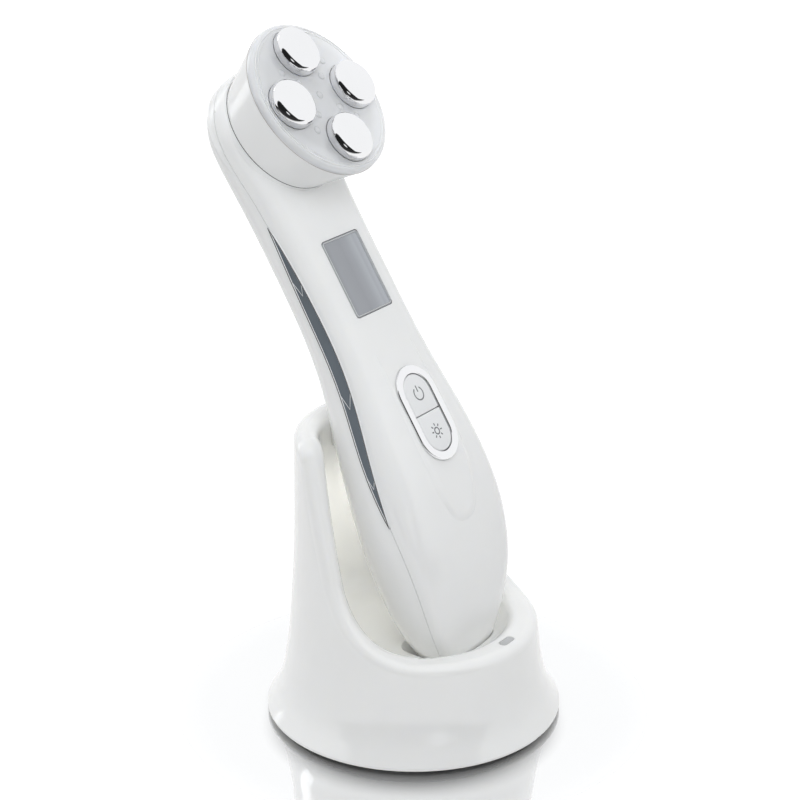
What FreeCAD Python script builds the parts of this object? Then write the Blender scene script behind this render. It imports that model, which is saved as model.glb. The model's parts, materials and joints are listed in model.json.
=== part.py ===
import FreeCAD, Part
import functools
import math
import os
import re
import Sketcher
from types import SimpleNamespace
from FreeCAD import Placement, Rotation, Vector

# Facial care handset docked in its charging stand.
# Millimetres, +Z up, the front faces -Y, the floor is at zero.

SIZES = {
    # Shared fits
    "overrun": 4.0,
    "seam_gap": 0.2,
    "fit_gap": 0.15,
    "seat_gap": 0.3,
    "touch_gap": 0.05,
    "slide_gap": 0.3,
    # Docked pose: the handset frame starts at its tip, on the plane of the front face
    "dock_forward": 44.25,
    "dock_rise": 34.1,
    # Handset body
    "grip_length": 167.4,
    "belly_half_width": 24.0,
    "neck_half_width": 17.5,
    "head_half_width": 20.7,
    "belly_depth": 40.5,
    "neck_depth": 21.5,
    "head_depth": 18.6,
    "chin_setback": 27.0,
    "neck_seam_depth": 7.6,
    "tip_seam_depth": 29.0,
    "shell_wall": 2.0,
    "contact_flat_height": 20.6,
    # Raised tongue on the front face
    "tongue_rise": 0.6,
    "tongue_tip_height": 38.6,
    "tongue_top_height": 104.0,
    "tongue_fade_start": 66.0,
    "tongue_fade_end": 96.0,
    "tongue_half_width": 13.4,
    "tongue_round": 6.0,
    # Side trims
    "trim_foot_height": 49.4,
    "trim_top_height": 142.6,
    "trim_half_width": 2.2,
    "trim_depth": 1.0,
    "trim_proud": 0.2,
    # Head
    "head_seat_depth": 1.5,
    "collar_depth": 8.0,
    "collar_flare": 1.1,
    "ring_base_radius": 19.9,
    "ring_top_radius": 24.7,
    "ring_height": 16.3,
    "ring_wall": 2.0,
    "ring_wire_hole_radius": 9.0,
    "spigot_radius": 16.8,
    "spigot_depth": 4.0,
    "lens_rise": 2.1,
    "lens_skin": 1.5,
    "lens_round": 1.5,
    "lens_lip_depth": 2.0,
    "lens_lip_wall": 1.4,
    # Electrodes
    "electrode_pitch": 14.5,
    "electrode_radius": 7.5,
    "electrode_height": 3.7,
    "electrode_round": 1.9,
    "electrode_seat": 0.4,
    "stud_radius": 2.0,
    "nut_across": 7.0,
    "nut_height": 2.4,
    "stud_tail": 1.0,
    # Light board
    "led_board_thickness": 1.6,
    "led_board_depth": 6.6,
    "led_radius": 1.5,
    "led_inner_pitch": 7.6,
    "led_outer_pitch": 13.6,
    # Display
    "lcd_height": 119.9,
    "lcd_half_width": 9.0,
    "lcd_half_height": 12.3,
    "lcd_corner": 1.2,
    "lcd_recess": 0.4,
    "lcd_window_thickness": 1.2,
    "lcd_panel_thickness": 1.8,
    "lcd_panel_margin": 0.6,
    "lcd_holder_wall": 1.2,
    # Buttons
    "button_height": 74.4,
    "ring_half_width": 8.7,
    "ring_half_length": 15.0,
    "ring_band": 2.6,
    "ring_thickness": 1.6,
    "ring_proud": 0.35,
    "button_proud": 0.1,
    "button_flange": 0.9,
    "button_flange_thickness": 0.8,
    "button_split": 0.3,
    "button_travel": 0.6,
    "stem_radius": 1.7,
    "stem_engagement": 0.4,
    "switch_half_width": 3.0,
    "switch_height": 3.4,
    "switch_spread": 6.0,
    # Boards, cell and coil
    "board_depth": 8.6,
    "board_thickness": 1.6,
    "board_half_width": 11.5,
    "board_foot_height": 39.0,
    "board_top_height": 139.5,
    "board_post_radius": 2.2,
    "board_post_inset": 2.6,
    "cell_half_width": 11.0,
    "cell_length": 40.0,
    "cell_thickness": 7.0,
    "cell_foot_height": 45.0,
    "coil_radius": 6.0,
    "coil_thickness": 6.0,
    "coil_core_radius": 2.4,
    "coil_flange": 1.0,
    "coil_height": 100.0,
    # Shell screws
    "low_screw_height": 34.6,
    "low_screw_half_pitch": 13.0,
    "high_screw_height": 143.2,
    "high_screw_half_pitch": 9.6,
    "boss_radius": 2.8,
    "bolt_radius": 1.1,
    "bolt_head_radius": 2.0,
    "bolt_head_height": 1.4,
    "bolt_seat": 2.0,
    "boss_split_depth": 11.2,
    "bolt_grip": 5.0,
    "plug_radius": 2.6,
    "plug_thickness": 1.6,
    # Charge contacts and pins
    "contact_setback": 14.0,
    "contact_half_pitch": 5.5,
    "contact_radius": 2.2,
    "contact_thickness": 1.4,
    "pin_tip_radius": 1.0,
    "pin_shoulder_radius": 1.6,
    "pin_shoulder_height": 1.4,
    "pin_travel": 1.0,
    "pin_holder_half_width": 9.5,
    "pin_holder_half_depth": 3.6,
    "pin_holder_height": 8.0,
    "pin_holder_floor": 1.5,
    "spring_wire": 0.3,
    "spring_coil_radius": 1.15,
    # Stand
    "foot_height": 1.2,
    "foot_radius": 6.0,
    "foot_pitch_radius": 34.0,
    "foot_plug_height": 1.2,
    "foot_plug_radius": 3.0,
    "foot_round": 0.6,
    "stand_base_radius": 44.9,
    "stand_edge_round": 0.6,
    "stand_skirt_height": 0.4,
    "stand_waist_radius": 37.6,
    "stand_top_radius": 35.4,
    "stand_rim_height": 30.2,
    "stand_top_height": 91.2,
    "stand_wall": 7.6,
    "stand_skin": 2.4,
    "stand_lip_round": 3.2,
    "rim_rise": 1.4,
    "rim_bend_radius": 30.0,
    "column_front": 16.5,
    "column_lean": 18.6,
    "column_corner_radius": 6.0,
    "dish_height": 25.0,
    "dish_round": 9.0,
    "pocket_gap": 0.6,
    "pocket_wall": 2.0,
    "rest_half_width": 3.0,
    "rest_foot_height": 80.0,
    "rest_top_height": 87.0,
    # Base
    "base_plate_thickness": 2.0,
    "base_plate_inset": 0.8,
    "base_boss_radius": 3.5,
    "base_screw_pitch_radius": 24.0,
    "base_screw_length": 9.0,
    "charge_board_half_width": 13.0,
    "charge_board_front": 6.0,
    "charge_board_back": 33.0,
    "charge_board_post_height": 1.5,
    "charge_board_post_radius": 2.0,
    "jack_half_width": 4.5,
    "jack_length": 13.0,
    "jack_height": 9.4,
    "jack_back": 36.4,
    "jack_snout_radius": 4.0,
    "jack_bore_radius": 2.75,
    "jack_bore_depth": 9.0,
    "jack_pin_radius": 1.0,
    "indicator_setback": 33.4,
    "indicator_half_width": 3.0,
    "indicator_half_depth": 1.2,
    "indicator_depth": 7.8,
    "indicator_rise": 0.4,
    "indicator_led_radius": 1.0,
    "indicator_led_length": 4.0,
}

LEAN_ANGLE = 32.5
HEAD_TILT = 7.3

# Cross sections from the tip to the centre of the head, as shares of the body sizes above
HEIGHT_SHARES = (0.009, 0.021, 0.048, 0.09, 0.137, 0.197, 0.269, 0.34, 0.418, 0.496, 0.579, 0.687,
                 0.806, 0.896, 0.962, 1.0)
BELLY_WIDTH_SHARES = (0.31, 0.44, 0.585, 0.733, 0.846, 0.938, 0.996, 0.92, 0.68, 0.34, 0.08, 0, 0, 0, 0, 0)
NECK_WIDTH_SHARES = (0, 0, 0, 0, 0, 0, 0, 0.08, 0.32, 0.66, 0.92, 1, 0.97, 0.66, 0.12, 0)
HEAD_WIDTH_SHARES = (0, 0, 0, 0, 0, 0, 0, 0, 0, 0, 0, 0, 0.03, 0.34, 0.88, 1)
BELLY_DEPTH_SHARES = (0.837, 0.879, 0.946, 0.99, 1, 0.973, 0.826, 0.68, 0.51, 0.337, 0.147, 0.02, 0, 0, 0, 0)
NECK_DEPTH_SHARES = (0, 0, 0, 0, 0, 0, 0.174, 0.32, 0.49, 0.663, 0.853, 0.98, 0.86, 0.59, 0.17, 0)
HEAD_DEPTH_SHARES = (0, 0, 0, 0, 0, 0, 0, 0, 0, 0, 0, 0, 0.14, 0.41, 0.83, 1)
CHIN_SHARES = (0.993, 0.9, 0.756, 0.552, 0.367, 0.219, 0.111, 0.037, 0.004, 0, 0, 0, 0, 0, 0, 0)
TIP_SEAM_SHARES = (1, 0.95, 0.81, 0.63, 0.46, 0.3, 0.195, 0.167, 0.13, 0.065, 0.02, 0, 0, 0, 0, 0)
INNER_FIRST_ROW = 3
FRONT_SQUARENESS = 4.0
BACK_SQUARENESS = 2.3
HALF_SECTION_STEPS = 16

# Stand outline between its skirt, its waist at the rim and its top
FLARE_HEIGHT_SHARES = (0, 0.08, 0.17, 0.28, 0.42, 0.6, 0.81, 1)
FLARE_RADIUS_SHARES = (1, 0.81, 0.61, 0.44, 0.295, 0.178, 0.065, 0)
TOWER_HEIGHT_SHARES = (0.16, 0.41, 0.73, 1)
TOWER_RADIUS_SHARES = (0.68, 0.28, 0.1, 0)
PLATE_REACH_SHARE = 0.72
ROUND_SHARES = (1.0, 0.8, 0.6, 0.4)

# Side trims and tongue
TRIM_HEIGHT_SHARES = (0.2, 0.45, 0.75)
TRIM_WIDTH_SHARES = (0.72, 1, 0.86)
TONGUE_HEIGHT_SHARES = (0, 0.03, 0.11, 0.28, 0.6, 1)
TONGUE_WIDTH_SHARES = (0, 0.5, 0.78, 0.98, 1.0, 0.88)

ELECTRODE_TURNS = {"top": 90, "bottom": 270, "left": 180, "right": 0}
SPRING_TURNS = 5
SPRING_SIDES = 8
QUARTERS = (45, 135, 225, 315)

doc = FreeCAD.newDocument("handset_and_stand")
sheet = doc.addObject("Spreadsheet::Sheet", "sizes")
for row, (alias, number) in enumerate(SIZES.items(), start=1):
    sheet.set("A%d" % row, alias)
    sheet.set("B%d" % row, str(number))
    sheet.setAlias("B%d" % row, alias)
doc.recompute()
S = SimpleNamespace(**{alias: float(getattr(sheet, alias)) for alias in SIZES})

X_AXIS = Vector(1, 0, 0)
Y_AXIS = Vector(0, 1, 0)
Z_AXIS = Vector(0, 0, 1)
PIECES = []


# Shared helpers

def bound(text):
    """Point every size named in an expression at its cell in the sheet."""
    return re.sub(r"[a-z][a-z_]+", lambda word: "sizes." + word.group(), text)


def value(text):
    """Work out an expression of sheet sizes."""
    return float(sheet.evalExpression(bound(text)))


def move(x=0.0, y=0.0, z=0.0, axis=Z_AXIS, angle=0.0):
    """Make a placement from a shift and a turn."""
    return Placement(Vector(x, y, z), Rotation(axis, angle))


def primitive(kind, name, at=None, **sizes):
    """Add a Part primitive whose sizes follow the sheet."""
    item = doc.addObject("Part::" + kind, name)
    for key, text in sizes.items():
        item.setExpression(key, bound(text))
    if at is not None:
        item.Placement = at
    return item


def block(name, width, depth, height, at):
    """Add a box centred on X and Y whose floor is at the placement."""
    centre = move(-value(width) / 2, -value(depth) / 2)
    return primitive("Box", name, at.multiply(centre), Length=width, Width=depth, Height=height)


def joined(name, *items):
    """Fuse document objects."""
    result = doc.addObject("Part::MultiFuse", name)
    result.Shapes = list(items)
    return result


def cut(name, base, *tools):
    """Cut one or more document objects from another."""
    result = doc.addObject("Part::Cut", name)
    result.Base = base
    result.Tool = tools[0] if len(tools) == 1 else joined(name + "_tools", *tools)
    return result


def slot(name, half_width, half_length, height, at):
    """Add an upright stadium block, long in Y, whose floor is at the placement."""
    reach = value("(%s) - (%s)" % (half_length, half_width))
    ends = [primitive("Cylinder", name + "_end", at.multiply(move(y=side * reach)),
                      Radius=half_width, Height=height) for side in (-1, 1)]
    middle = block(name + "_middle", "2 * (%s)" % half_width, "2 * ((%s) - (%s))" % (half_length, half_width),
                   height, at)
    return joined(name, middle, *ends)


def plane_of(body, role):
    """Find one of a body's own origin planes."""
    return next(item for item in body.Origin.OriginFeatures if item.Role == role)


def sketch_on(body, name, role="XY_Plane"):
    """Attach an empty sketch to an origin plane of a body."""
    sketch = body.newObject("Sketcher::SketchObject", name)
    sketch.AttachmentSupport = [(plane_of(body, role), "")]
    sketch.MapMode = "FlatFace"
    return sketch


def pin_point(sketch, line, across, up):
    """Tie a line's first point to expressions of the sheet."""
    for kind, text, axis in (("DistanceX", across, -2), ("DistanceY", up, -1)):
        if text == "0":
            sketch.addConstraint(Sketcher.Constraint("PointOnObject", line, 1, axis))
            continue
        index = sketch.addConstraint(Sketcher.Constraint(kind, -1, 1, line, 1, value(text)))
        sketch.setExpression("Constraints[%d]" % index, bound(text))


def outline(sketch, points):
    """Draw a closed outline of straight lines through points given as expressions."""
    spots = [Vector(value(across), value(up), 0) for across, up in points]
    for start, end in zip(spots, spots[1:] + spots[:1]):
        sketch.addGeometry(Part.LineSegment(start, end), False)
    for line in range(len(spots)):
        sketch.addConstraint(Sketcher.Constraint("Coincident", line, 2, (line + 1) % len(spots), 1))
    for line, (across, up) in enumerate(points):
        pin_point(sketch, line, across, up)


def circle(sketch, radius, across="0", up="0"):
    """Draw a circle whose radius and centre follow the sheet."""
    spot = Vector(value(across), value(up), 0)
    line = sketch.addGeometry(Part.Circle(spot, Z_AXIS, value(radius)), False)
    index = sketch.addConstraint(Sketcher.Constraint("Radius", line, value(radius)))
    sketch.setExpression("Constraints[%d]" % index, bound(radius))
    for kind, text, axis in (("DistanceX", across, -2), ("DistanceY", up, -1)):
        if text == "0":
            sketch.addConstraint(Sketcher.Constraint("PointOnObject", line, 3, axis))
            continue
        index = sketch.addConstraint(Sketcher.Constraint(kind, -1, 1, line, 3, spot.x if axis == -2 else spot.y))
        sketch.setExpression("Constraints[%d]" % index, bound(text))


def turned(name, points):
    """Make a body turned about Z from radius and height expressions."""
    body = doc.addObject("PartDesign::Body", name)
    sketch = sketch_on(body, name + "_profile", "XZ_Plane")
    outline(sketch, points)
    spin = body.newObject("PartDesign::Revolution", name + "_turn")
    spin.Profile = sketch
    spin.ReferenceAxis = (sketch, ["V_Axis"])
    spin.Angle = 360.0
    doc.recompute()
    return body


def plate(name, thickness, points=None, radius=None):
    """Make a body padded up from an outline or a circle on the XY plane."""
    body = doc.addObject("PartDesign::Body", name)
    sketch = sketch_on(body, name + "_outline")
    if radius is None:
        outline(sketch, points)
    else:
        circle(sketch, radius)
    pad = body.newObject("PartDesign::Pad", name + "_pad")
    pad.Profile = sketch
    pad.setExpression("Length", bound(thickness))
    doc.recompute()
    return body


def drill(body, name, radius, spots):
    """Cut round holes through a plate at places given as expressions."""
    sketch = sketch_on(body, name)
    for across, up in spots:
        circle(sketch, radius, across, up)
    pocket = body.newObject("PartDesign::Pocket", name + "_pocket")
    pocket.Profile = sketch
    pocket.Type = 1
    pocket.Reversed = True
    doc.recompute()


def round_edges(body, name, radius, chooser):
    """Fillet the edges of a body that a test picks."""
    edges = [i for i, edge in enumerate(body.Shape.Edges, start=1) if chooser(edge)]
    base = body.Tip
    fillet = body.newObject("PartDesign::Fillet", name)
    fillet.Base = (base, ["Edge%d" % i for i in edges])
    fillet.setExpression("Radius", bound(radius))
    doc.recompute()


def solid_feature(label, shape, frame):
    """Add a piece whose shape is made with Part functions."""
    item = doc.addObject("Part::Feature", label)
    item.Shape = shape
    return piece(item, label, frame)


def piece(item, label, frame):
    """Name a finished piece and put it where it belongs."""
    item.Label = label
    item.Placement = frame
    PIECES.append(item)
    return item


def group(label, pattern, places, frame):
    """Add a group of equal solids, one at each place."""
    doc.recompute()
    shapes = []
    for place in places:
        shape = pattern.Shape.copy()
        shape.Placement = place.multiply(shape.Placement)
        shapes.append(shape)
    return solid_feature(label, Part.makeCompound(shapes), frame)


def bar(radius, length, at):
    """Make a cylinder along Z from a placement."""
    shape = Part.makeCylinder(radius, length)
    shape.Placement = at
    return shape


# Frames

HANDSET = move(y=-S.dock_forward, z=S.dock_rise, axis=X_AXIS, angle=-LEAN_ANGLE)
HEAD = HANDSET.multiply(move(y=S.head_seat_depth, z=S.grip_length, axis=X_AXIS, angle=90 - HEAD_TILT))
HEAD_IN_HANDSET = HANDSET.inverse().multiply(HEAD)
FACE = move(axis=X_AXIS, angle=90)
STAND = Placement()


def on_face(x, height, depth):
    """Place something on the handset's front: its Z points out of the face, its Y up the handset."""
    return move(x, depth, height).multiply(FACE)


# Handset body

def mixed(sizes, shares):
    """Add up sizes by their shares."""
    return sum(size * share for size, share in zip(sizes, shares))


def body_rows():
    """List the cross sections: height, half width, front, back and seam depth."""
    widths = (S.belly_half_width, S.neck_half_width, S.head_half_width)
    depths = (S.belly_depth, S.neck_depth, S.head_depth)
    rows = []
    for i, share in enumerate(HEIGHT_SHARES):
        rows.append(SimpleNamespace(
            height=S.grip_length * share,
            half_width=mixed(widths, (BELLY_WIDTH_SHARES[i], NECK_WIDTH_SHARES[i], HEAD_WIDTH_SHARES[i])),
            back=mixed(depths, (BELLY_DEPTH_SHARES[i], NECK_DEPTH_SHARES[i], HEAD_DEPTH_SHARES[i])),
            front=S.chin_setback * CHIN_SHARES[i],
            seam=S.neck_seam_depth + (S.tip_seam_depth - S.neck_seam_depth) * TIP_SEAM_SHARES[i]))
    return rows


ROWS = body_rows()


def half_section(row, inset, side):
    """Draw one half of a cross section, square at the front and round at the back."""
    points = []
    for step in range(HALF_SECTION_STEPS + 1):
        angle = math.pi * (step / HALF_SECTION_STEPS - 0.5)
        front = angle < 0
        depth = row.seam - row.front - inset if front else row.back - row.seam - inset
        power = FRONT_SQUARENESS if front else BACK_SQUARENESS
        width = row.half_width - inset
        across = abs(math.cos(angle) / width) ** power
        along = abs(math.sin(angle) / depth) ** power
        reach = (across + along) ** (-1 / power)
        points.append(Vector(side * reach * math.cos(angle), row.seam + reach * math.sin(angle), row.height))
    points[0].x = 0
    points[-1].x = 0
    curve = Part.BSplineCurve()
    curve.interpolate(Points=points, InitialTangent=Vector(side, 0, 0), FinalTangent=Vector(-side, 0, 0))
    return curve.toShape()


@functools.lru_cache(maxsize=None)
def handset_solid(inset, first_row=0):
    """Make the handset's full form, shrunk by an inset all round."""
    rows = ROWS[first_row:]
    wires = []
    for row in rows:
        right = half_section(row, inset, 1)
        left = half_section(row, inset, -1)
        wires.append(Part.Wire([right, left]))
    grip = Part.makeLoft(wires, True, False)
    profile = half_section(rows[-1], inset, 1)
    closing = Part.makeLine(profile.Vertexes[-1].Point, profile.Vertexes[0].Point)
    dome = Part.Face(Part.Wire([profile, closing]))
    dome = dome.revolve(Vector(0, 0, rows[-1].height), Vector(0, -1, 0), 180)
    return grip.fuse(dome)


def seam_depth(height):
    """Find the depth of the parting seam at a height."""
    for low, high in zip(ROWS, ROWS[1:]):
        if height <= high.height:
            share = (height - low.height) / (high.height - low.height)
            return low.seam + (high.seam - low.seam) * share
    return ROWS[-1].seam


def front_half(gap):
    """Make the space in front of the parting seam, moved back by a gap."""
    points = [Vector(0, row.seam + gap, row.height) for row in ROWS]
    points.insert(0, Vector(0, ROWS[0].seam + gap, -S.overrun))
    points.append(Vector(0, ROWS[-1].seam + gap, S.grip_length + S.head_half_width + S.overrun))
    seam = Part.BSplineCurve()
    seam.interpolate(points)
    foot = Vector(0, -S.ring_height, points[0].z)
    top = Vector(0, -S.ring_height, points[-1].z)
    edges = [seam.toShape(), Part.makeLine(points[-1], top), Part.makeLine(top, foot),
             Part.makeLine(foot, points[0])]
    face = Part.Face(Part.Wire(edges))
    half = S.belly_half_width + S.overrun
    face.translate(Vector(-half, 0, 0))
    return face.extrude(Vector(2 * half, 0, 0))


def trim_prism(side, grow):
    """Make the pointed side trim's outline as a prism out through one flank."""
    length = S.trim_top_height - S.trim_foot_height
    edges = []
    foot = Vector(0, seam_depth(S.trim_foot_height), S.trim_foot_height - grow)
    top = Vector(0, seam_depth(S.trim_top_height), S.trim_top_height + grow)
    for way in (-1, 1):
        points = [foot]
        for height_share, width_share in zip(TRIM_HEIGHT_SHARES, TRIM_WIDTH_SHARES):
            height = S.trim_foot_height + length * height_share
            points.append(Vector(0, seam_depth(height) + way * (S.trim_half_width * width_share + grow), height))
        points.append(top)
        curve = Part.BSplineCurve()
        curve.interpolate(points)
        edges.append(curve.toShape())
    face = Part.Face(Part.Wire(Part.__sortEdges__(edges)))
    return face.extrude(Vector(side * (S.belly_half_width + S.overrun), 0, 0))


def tongue_prism():
    """Make the raised tongue's outline as a prism through the front wall."""
    length = S.tongue_top_height - S.tongue_tip_height
    points = [Vector(share * S.tongue_half_width, -S.tongue_rise - S.overrun, S.tongue_tip_height + length * up)
              for up, share in zip(TONGUE_HEIGHT_SHARES, TONGUE_WIDTH_SHARES)]
    mirrored = [Vector(-point.x, point.y, point.z) for point in reversed(points[1:])]
    curve = Part.BSplineCurve()
    curve.interpolate(mirrored + points)
    closing = Part.makeLine(points[-1], mirrored[0])
    face = Part.Face(Part.Wire([curve.toShape(), closing]))
    return face.extrude(Vector(0, S.tip_seam_depth, 0))


def tongue_block():
    """Make the tongue with the softly rounded edge that rises from the front face."""
    block = handset_solid(-S.tongue_rise).common(tongue_prism())
    crest = []
    for edge in block.Edges:
        box = edge.BoundBox
        if min(box.XLength, box.ZLength) > S.overrun and box.YMax < S.tip_seam_depth / 2:
            crest.append(edge)
    return softened(block, S.tongue_round, crest)


def softened(shape, radius, edges):
    """Round edges, with a smaller radius where the full one can't be built."""
    for share in ROUND_SHARES:
        try:
            rounded = shape.makeFillet(radius * share, edges)
        except Part.OCCError:
            continue
        if rounded.isValid() and rounded.Solids:
            return rounded
    return shape


def tongue_fade():
    """Make the space behind the tongue's face, which sinks into the front face further up."""
    proud = -S.tongue_rise
    ahead = proud - S.overrun
    low = S.tongue_tip_height - S.overrun
    corners = [(ahead, low), (ahead, S.tongue_fade_start), (proud, S.tongue_fade_start), (0, S.tongue_fade_end),
               (S.neck_seam_depth, S.tongue_fade_end), (S.neck_seam_depth, low), (ahead, low)]
    face = Part.Face(Part.makePolygon([Vector(-S.belly_half_width, y, z) for y, z in corners]))
    return face.extrude(Vector(2 * S.belly_half_width, 0, 0))


def contact_flat():
    """Make the cutter below the flat that faces the charge pins when docked."""
    size = S.stand_base_radius
    shape = Part.makeBox(2 * size, 2 * size, size, Vector(-size, -size, S.contact_flat_height - size))
    shape.Placement = HANDSET.inverse().multiply(shape.Placement)
    return shape


def contact_places():
    """List where the two charge contacts lie on the flat, in the stand's frame."""
    return [move(side * S.contact_half_pitch, -S.contact_setback, S.contact_flat_height) for side in (-1, 1)]


def screw_spots():
    """List the shell screws: across and height."""
    spots = []
    for side in (-1, 1):
        spots.append((side * S.low_screw_half_pitch, S.low_screw_height))
        spots.append((side * S.high_screw_half_pitch, S.high_screw_height))
    return spots


def board_spots():
    """List the board screws: across and height."""
    across = S.board_half_width - S.board_post_inset
    heights = (S.board_foot_height + S.board_post_inset, S.board_top_height - S.board_post_inset)
    return [(side * across, height) for side in (-1, 1) for height in heights]


OUTER = handset_solid(0)
INNER = handset_solid(S.shell_wall, INNER_FIRST_ROW)


def stadium(half_width, half_length, depth_from, depth_to):
    """Make an upright stadium through the front face at the buttons."""
    reach = half_length - half_width
    height = depth_to - depth_from
    shape = Part.makeBox(2 * half_width, height, 2 * reach,
                         Vector(-half_width, depth_from, S.button_height - reach))
    for side in (-1, 1):
        shape = shape.fuse(Part.makeCylinder(half_width, height,
                                             Vector(0, depth_from, S.button_height + side * reach), Y_AXIS))
    return shape.removeSplitter()


def rounded_slab(half_width, half_height, corner, depth_from, depth_to):
    """Make a rounded rectangle through the front face at the display."""
    shape = Part.makeBox(2 * half_width, depth_to - depth_from, 2 * half_height,
                         Vector(-half_width, depth_from, S.lcd_height - half_height))
    if corner:
        upright = [edge for edge in shape.Edges if abs(edge.tangentAt(0).y) > 0.9]
        shape = shape.makeFillet(corner, upright)
    return shape


RING_TOP = -S.tongue_rise - S.ring_proud
RING_FLOOR = RING_TOP + S.ring_thickness
OPENING_HALF_WIDTH = S.ring_half_width - S.ring_band
OPENING_HALF_LENGTH = S.ring_half_length - S.ring_band


def head_space():
    """Make the cutter in front of the head's seat, and the opening behind it."""
    reach = S.ring_top_radius + S.overrun
    above = bar(reach, S.ring_height, HEAD_IN_HANDSET)
    opening = bar(S.spigot_radius + S.fit_gap, S.collar_depth + S.overrun,
                  HEAD_IN_HANDSET.multiply(move(z=-S.collar_depth)))
    return above.fuse(opening)


def boss_forms():
    """Make the screw bosses and board posts of the front shell and the pillars of the rear shell."""
    front = []
    rear = []
    back = S.belly_depth + S.overrun
    split = S.boss_split_depth + S.touch_gap
    for x, height in screw_spots():
        front.append(Part.makeCylinder(S.boss_radius, S.boss_split_depth, Vector(x, 0, height), Y_AXIS))
        rear.append(Part.makeCylinder(S.boss_radius + S.shell_wall / 2, back - split, Vector(x, split, height),
                                      Y_AXIS))
    for x, height in board_spots():
        front.append(Part.makeCylinder(S.board_post_radius, S.board_depth, Vector(x, 0, height), Y_AXIS))
    return [form.common(OUTER) for form in front], [form.common(OUTER) for form in rear]


def screw_holes():
    """Make the holes for the shell screws, their plugs and the board screws."""
    holes = []
    back = S.belly_depth + S.overrun
    for x, height in screw_spots():
        holes.append(Part.makeCylinder(S.bolt_radius + S.touch_gap, back, screw_start(x, height), Y_AXIS))
        holes.append(Part.makeCylinder(S.plug_radius + S.touch_gap, back, Vector(x, screw_seat(x, height), height),
                                       Y_AXIS))
    for x, height in board_spots():
        start = S.board_depth + S.board_thickness - S.bolt_grip - S.fit_gap
        holes.append(Part.makeCylinder(S.bolt_radius, S.bolt_grip, Vector(x, start, height), Y_AXIS))
    return holes


def contact_wells():
    """Make the wells in the handset's flat that take the charge contacts."""
    wells = []
    for place in contact_places():
        at = HANDSET.inverse().multiply(place).multiply(move(z=-S.overrun))
        wells.append(bar(S.contact_radius + S.touch_gap, S.contact_thickness + S.touch_gap + S.overrun, at))
    return wells


def shells():
    """Make the front and the rear shell."""
    collar = Part.makeCone(S.ring_base_radius + S.collar_flare, S.ring_base_radius, S.collar_depth)
    collar.Placement = HEAD_IN_HANDSET.multiply(move(z=-S.collar_depth))
    shell = OUTER.fuse(collar).cut([INNER, head_space(), contact_flat()])
    ahead = front_half(0)
    tongue = tongue_block().common(tongue_fade()).cut(INNER).common(ahead)
    posts, pillars = boss_forms()
    front = shell.common(ahead).fuse([tongue] + posts)
    rear = shell.cut(front_half(S.seam_gap)).fuse(pillars)

    core = handset_solid(S.trim_depth + S.touch_gap)
    cuts = [trim_prism(side, S.touch_gap).cut(core) for side in (-1, 1)] + contact_wells() + screw_holes()
    lcd = rounded_slab(S.lcd_half_width, S.lcd_half_height, S.lcd_corner, -S.overrun, S.neck_seam_depth)
    ring = stadium(S.ring_half_width + S.touch_gap, S.ring_half_length + S.touch_gap, -S.overrun, RING_FLOOR)
    opening = stadium(OPENING_HALF_WIDTH, OPENING_HALF_LENGTH, -S.overrun, S.neck_seam_depth)
    play = S.button_flange + S.slide_gap
    flange = stadium(OPENING_HALF_WIDTH + play, OPENING_HALF_LENGTH + play, S.shell_wall, S.neck_seam_depth)
    solid_feature("front_shell", largest(front.cut(cuts + [lcd, ring, opening, flange])), HANDSET)
    solid_feature("rear_shell", largest(rear.cut(cuts)), HANDSET)


def largest(shape):
    """Keep the biggest solid of a cut."""
    return max(shape.Solids, key=lambda solid: solid.Volume)


@functools.lru_cache(maxsize=None)
def surface_depth(x, height):
    """Measure the depth of the handset's back surface at a place."""
    probe = Part.makeLine(Vector(x, -S.belly_depth, height), Vector(x, 2 * S.belly_depth, height))
    return OUTER.common(probe).BoundBox.YMax


def screw_seat(x, height):
    """Find the depth where a shell screw's head sits."""
    return surface_depth(x, height) - S.plug_thickness - S.bolt_head_height - S.bolt_seat


def screw_start(x, height):
    """Find where a shell screw's tip lies."""
    return Vector(x, S.boss_split_depth - S.bolt_grip, height)


def shell_fasteners():
    """Make the shell screws and the plugs that cover them."""
    bolts = []
    plugs = []
    for x, height in screw_spots():
        seat = screw_seat(x, height)
        start = screw_start(x, height)
        start.y += S.touch_gap
        shank = Part.makeCylinder(S.bolt_radius, seat - start.y + S.touch_gap, start, Y_AXIS)
        head = Part.makeCylinder(S.bolt_head_radius, S.bolt_head_height, Vector(x, seat + S.touch_gap, height), Y_AXIS)
        bolts.append(shank.fuse(head))
        plug_start = Vector(x, seat + S.bolt_head_height + 2 * S.touch_gap, height)
        plugs.append(Part.makeCylinder(S.plug_radius, S.belly_depth, plug_start, Y_AXIS).common(OUTER))
    solid_feature("shell_screws", Part.makeCompound(bolts), HANDSET)
    solid_feature("screw_plugs", Part.makeCompound(plugs), HANDSET)


def side_trims():
    """Make the two pointed trims let into the flanks over the seam."""
    skin = handset_solid(-S.trim_proud).cut(handset_solid(S.trim_depth))
    for label, side in (("side_trim_left", -1), ("side_trim_right", 1)):
        solid_feature(label, largest(skin.common(trim_prism(side, 0))), HANDSET)


# Head

RING_SLOPE = "(ring_top_radius - ring_base_radius) / ring_height"


def head_ring():
    """Make the flared ring with its floor and the spigot that plugs into the handset."""
    inner_foot = "ring_base_radius - ring_wall + ring_wall * %s" % RING_SLOPE
    body = turned("ring_body", [
        ("ring_wire_hole_radius", "-spigot_depth"),
        ("spigot_radius", "-spigot_depth"),
        ("spigot_radius", "seam_gap"),
        ("ring_base_radius", "seam_gap"),
        ("ring_top_radius", "ring_height"),
        ("ring_top_radius - ring_wall", "ring_height"),
        (inner_foot, "ring_wall"),
        ("ring_wire_hole_radius", "ring_wall")])
    piece(body, "head_ring", HEAD)


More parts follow.
